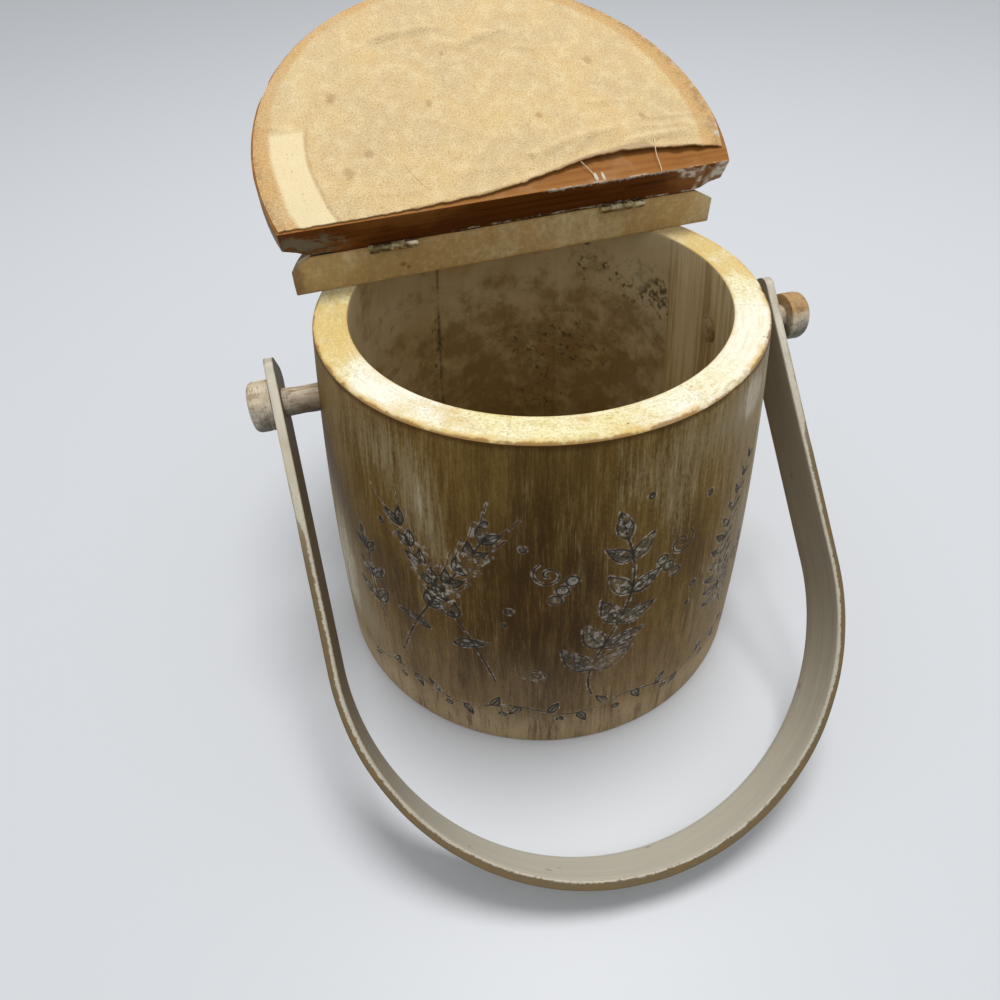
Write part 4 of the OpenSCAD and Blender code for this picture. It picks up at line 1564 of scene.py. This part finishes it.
def peg_profile(reach):
    """Rings of a peg from its worn inner end to its head, which has a turned groove and a rounded edge"""
    end = side_r(PEG_Z) - WALL - 1 * MM
    shaft, head = PEG_D / 2, HEAD_D / 2
    round_r = 2.5 * MM
    profile = [(end - 0.15 * MM, 2.5 * MM), (end, 4.4 * MM), (end + 0.35 * MM, shaft - 0.25 * MM),
               (end + 0.8 * MM, shaft)]
    profile += [(x, shaft) for x in np.linspace(end + 4 * MM, reach - 0.6 * MM, 22)]
    profile += [(reach, shaft), (reach, head - 0.6 * MM), (reach + 0.2 * MM, head - 0.15 * MM),
                (reach + 0.6 * MM, head)]
    profile += [(reach + d * MM, head - cut * MM) for d, cut in
                ((1.6, 0), (2.2, 0.05), (2.5, 0.28), (2.8, 0.05), (3.6, 0), (4.6, 0), (5.6, 0))]
    profile += [(reach + HEAD_LEN - round_r + round_r * math.sin(a), head - round_r + round_r * math.cos(a))
                for a in np.linspace(0.12, QUARTER_TURN, 7)]
    return profile + [(reach + HEAD_LEN - 0.1 * MM, 5.6 * MM), (reach + HEAD_LEN - 0.05 * MM, 3.4 * MM),
                      (reach + HEAD_LEN, 1.2 * MM)]


def make_peg(side, material):
    sign = 1 if side == "right" else -1
    reach = REACH[side]
    piece = lathe(peg_profile(reach), PEG_Z)
    piece.name = "turned_peg_" + side
    points = points_of(piece.data)
    centre = np.stack([points[:, 0], np.zeros(len(points)), np.full(len(points), PEG_Z)], axis=1)
    outward = points - centre
    radius = np.linalg.norm(outward, axis=1)
    x = points[:, 0]
    wall = side_r(PEG_Z)
    loose = np.clip((x - wall - 0.5 * MM) / (2 * MM), 0, 1) * np.clip((reach - 5.5 * MM - x) / (3 * MM), 0, 1)
    head = np.clip((x - reach - 1.0 * MM) / (2 * MM), 0, 1)
    broad = (rough(points, 150, 31 + sign) - 0.25) * 0.35 * MM
    worn = broad + np.minimum(rough(points * np.array((0.4, 1, 1)), 480, 37), 0) * 0.30 * MM
    shift = np.minimum(worn, 0) * loose + np.minimum(worn * 0.8, 0) * head
    set_points(piece.data, centre + outward * (1 + shift / np.maximum(radius, MM))[:, None])
    if sign < 0:
        piece.data.transform(Matrix.Scale(-1, 4, (1, 0, 0)))
        piece.data.flip_normals()
    piece.data.materials.append(material)
    smooth(piece, 38)
    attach(piece, "tub")
    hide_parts("peg_" + side)


# Handle
SPARE = 3 * MM
STRIP_EASE = 0.45 * MM
BEND_STEPS = 120
LEG_STEPS = 48
SLAB_W = 0.4
SLAB_LEN = 0.3 + EAR_LEN


def ear_outline():
    """A long slab, a hair wider than the strip, with the two rounded corners that its ears get"""
    slab = block((SLAB_W, SLAB_LEN, BAIL_W + 0.002 * MM), (0, EAR_LEN - SLAB_LEN / 2, 0))
    open_up(slab)
    pick(slab, "edges", lambda mesh, edge: all(abs(v.y - EAR_LEN) < NEAR for v in both_ends(mesh, edge))
         and both_ends(mesh, edge)[0].z * both_ends(mesh, edge)[1].z > 0)
    bpy.ops.mesh.bevel(offset=EAR_ROUND, segments=12, affect="EDGES")
    return close_up(slab)


def make_handle(material):
    """One strip: its section is spun round the bend and drawn out along both legs, then its ears are
    rounded and bored"""
    middle = BEND_R + BAIL_T / 2
    out_x, out_y = math.cos(LEG_LEAN), -math.sin(LEG_LEAN)
    deselect()
    bpy.ops.mesh.primitive_plane_add(size=1, rotation=(QUARTER_TURN, 0, -LEG_LEAN),
                                     location=(middle * out_x, -BEND_DROP + middle * out_y, 0))
    strip = bpy.context.object
    strip.name = "bent_handle"
    strip.scale = (BAIL_T, BAIL_W, 1)
    apply_place(strip)
    open_up(strip)
    bpy.ops.mesh.select_all(action="SELECT")
    bpy.ops.mesh.delete(type="ONLY_FACE")
    bpy.ops.mesh.select_all(action="SELECT")
    bpy.ops.mesh.subdivide(number_cuts=5)
    bpy.ops.mesh.select_all(action="SELECT")
    bpy.ops.mesh.spin(steps=BEND_STEPS, angle=math.pi - 2 * LEG_LEAN, center=(0, -BEND_DROP, 0),
                      axis=(0, 0, 1))
    leg = (BEND_DROP + EAR_LEN) / math.cos(LEG_LEAN) + 6 * MM
    for sign in (-1, 1):
        if sign > 0:
            pick(strip, "edges", lambda mesh, edge: all(
                abs((v.y + BEND_DROP) * out_x - v.x * out_y) < NEAR / 10 and v.x > 0
                for v in both_ends(mesh, edge)))
        for _ in range(LEG_STEPS):
            move = (sign * -out_y * leg / LEG_STEPS, out_x * leg / LEG_STEPS, 0)
            bpy.ops.mesh.extrude_edges_move(TRANSFORM_OT_translate={"value": move})
    slice_at(1, [EAR_LEN + SPARE], clear_outer=True)
    for sign in (-1, 1):
        pick(strip, "edges", lambda mesh, edge: all(abs(v.y - EAR_LEN - SPARE) < NEAR and v.x * sign > 0
                                                    for v in both_ends(mesh, edge)))
        bpy.ops.mesh.edge_face_add()
    face_outwards()
    close_up(strip)
    apply_modifier(strip, "BEVEL", width=STRIP_EASE, segments=3, limit_method="ANGLE",
                   angle_limit=math.radians(40), use_clamp_overlap=False)
    cut_with(strip, ear_outline(), "INTERSECT")
    bore(strip, PEG_D / 2 + EAR_PLAY, SLAB_W, (0, 0, 0))
    finish_handle(strip, material)


def finish_handle(strip, material):
    """Stores each point's place along, across and through the strip, hews its edges, and leans it"""
    mesh = strip.data
    points = points_of(mesh)
    x, y, z = points.T
    spread = np.hypot(x, y + BEND_DROP)
    angle = np.arctan2(x, -(y + BEND_DROP))
    middle = BEND_R + BAIL_T / 2
    half_bend = QUARTER_TURN - LEG_LEAN
    on_leg = np.abs(angle) > half_bend
    beyond = (y + BEND_DROP) * math.cos(LEG_LEAN) + np.abs(x) * math.sin(LEG_LEAN)
    along = np.where(on_leg, np.sign(x) * (middle * half_bend + beyond), angle * middle)
    from_centre = np.abs(x) * math.cos(LEG_LEAN) - (y + BEND_DROP) * math.sin(LEG_LEAN)
    depth = np.where(on_leg, from_centre, spread) - BEND_R
    store(mesh, "along", along)
    store(mesh, "across", z)
    store(mesh, "depth", np.clip(depth, 0, BAIL_T))
    free = np.clip((-y - 12 * MM) / (14 * MM), 0, 1)
    level = np.zeros(len(x))
    run = np.stack([along, level, level], axis=1)
    hewn = rough(run, 26, 41) * 0.30 * MM + rough(run, 90, 43) * 0.12 * MM
    edge = np.clip((np.abs(z) - BAIL_W / 2 + 1.2 * MM) / (1.2 * MM), 0, 1)
    shave = np.minimum(np.where(z > 0, hewn, rough(run, 31, 47) * 0.25 * MM), 0) * edge * free
    outer = np.clip(depth / BAIL_T, 0, 1)
    thin = np.minimum(rough(points, 60, 53) * 0.22 * MM, 0) * outer * free
    normal = np.stack([np.where(on_leg, np.sign(x) * math.cos(LEG_LEAN), x / np.maximum(spread, MM)),
                       np.where(on_leg, -math.sin(LEG_LEAN), (y + BEND_DROP) / np.maximum(spread, MM)),
                       level], axis=1)
    points = points + normal * thin[:, None] + np.stack([level, level, np.sign(z) * shave], axis=1)
    set_points(mesh, points)
    mesh.transform(LEANT)
    mesh.materials.append(material)
    smooth(strip, 38)
    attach(strip, "handle")
    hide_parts("handle")


def dress(node_name, material):
    """Gives a CAD node that stays its detailed material"""
    for slot in bpy.data.objects[node_name].material_slots:
        slot.material = material


# Floor and light
FLOOR_SIZE = 6
ROOM_STRENGTH = 0.60
WINDOW_AT = Vector((0.15, 0.16, 1.7))
WINDOW_SIZE = 0.6
WINDOW_POWER = 17.5


def add_stage():
    deselect()
    bpy.ops.mesh.primitive_plane_add(size=FLOOR_SIZE, location=(0, 0, 0))
    floor = bpy.context.object
    floor.name = "floor"
    made, _, shader = new_material("pale_floor")
    shader.inputs["Base Color"].default_value = FLOOR_GREY
    shader.inputs["Roughness"].default_value = 0.45
    floor.data.materials.append(made)


def add_lights():
    world = bpy.data.worlds.new("soft_room")
    world.use_nodes = True
    room = world.node_tree.nodes["Background"]
    room.inputs["Color"].default_value = ROOM_LIGHT
    room.inputs["Strength"].default_value = ROOM_STRENGTH
    bpy.context.scene.world = world
    lamp = bpy.data.lights.new("window", "AREA")
    lamp.shape = "DISK"
    lamp.size = WINDOW_SIZE
    lamp.energy = WINDOW_POWER
    holder = add_object("window", lamp)
    holder.location = WINDOW_AT
    holder.rotation_euler = (-WINDOW_AT).to_track_quat("-Z", "Y").to_euler()


add_camera()
add_stage()
add_lights()
bpy.context.scene.view_settings.view_transform = "Standard"

make_staves([glazed_outside(), worn_rim(), stained_inside()])
board = make_lid(cut_pine(), bare_pine(), glazed_lid("glazed_panel", OPENED.inverted()),
                 painted_strip(), glazed_lid("glazed_strip", TURNED.inverted()))
lining = make_lining(old_cloth())
threads = make_threads(cotton_thread())
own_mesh(lining)
for side in ("left", "right"):
    make_peg(side, turned_peg(side))
make_handle(bent_strip())
dull_brass, bright_brass = old_brass("brass_dull", False), old_brass("brass_bright", True)
for side in ("left", "right"):
    dress("hinge_leaf_strip_" + side, dull_brass)
    dress("hinge_leaf_lid_" + side, bright_brass)
    dress("hinge_pin_" + side, bright_brass)
for part in ("strip", "lid"):
    dress("hinge_screws_" + part, dull_brass)
dress("bottom_board", board_inside())
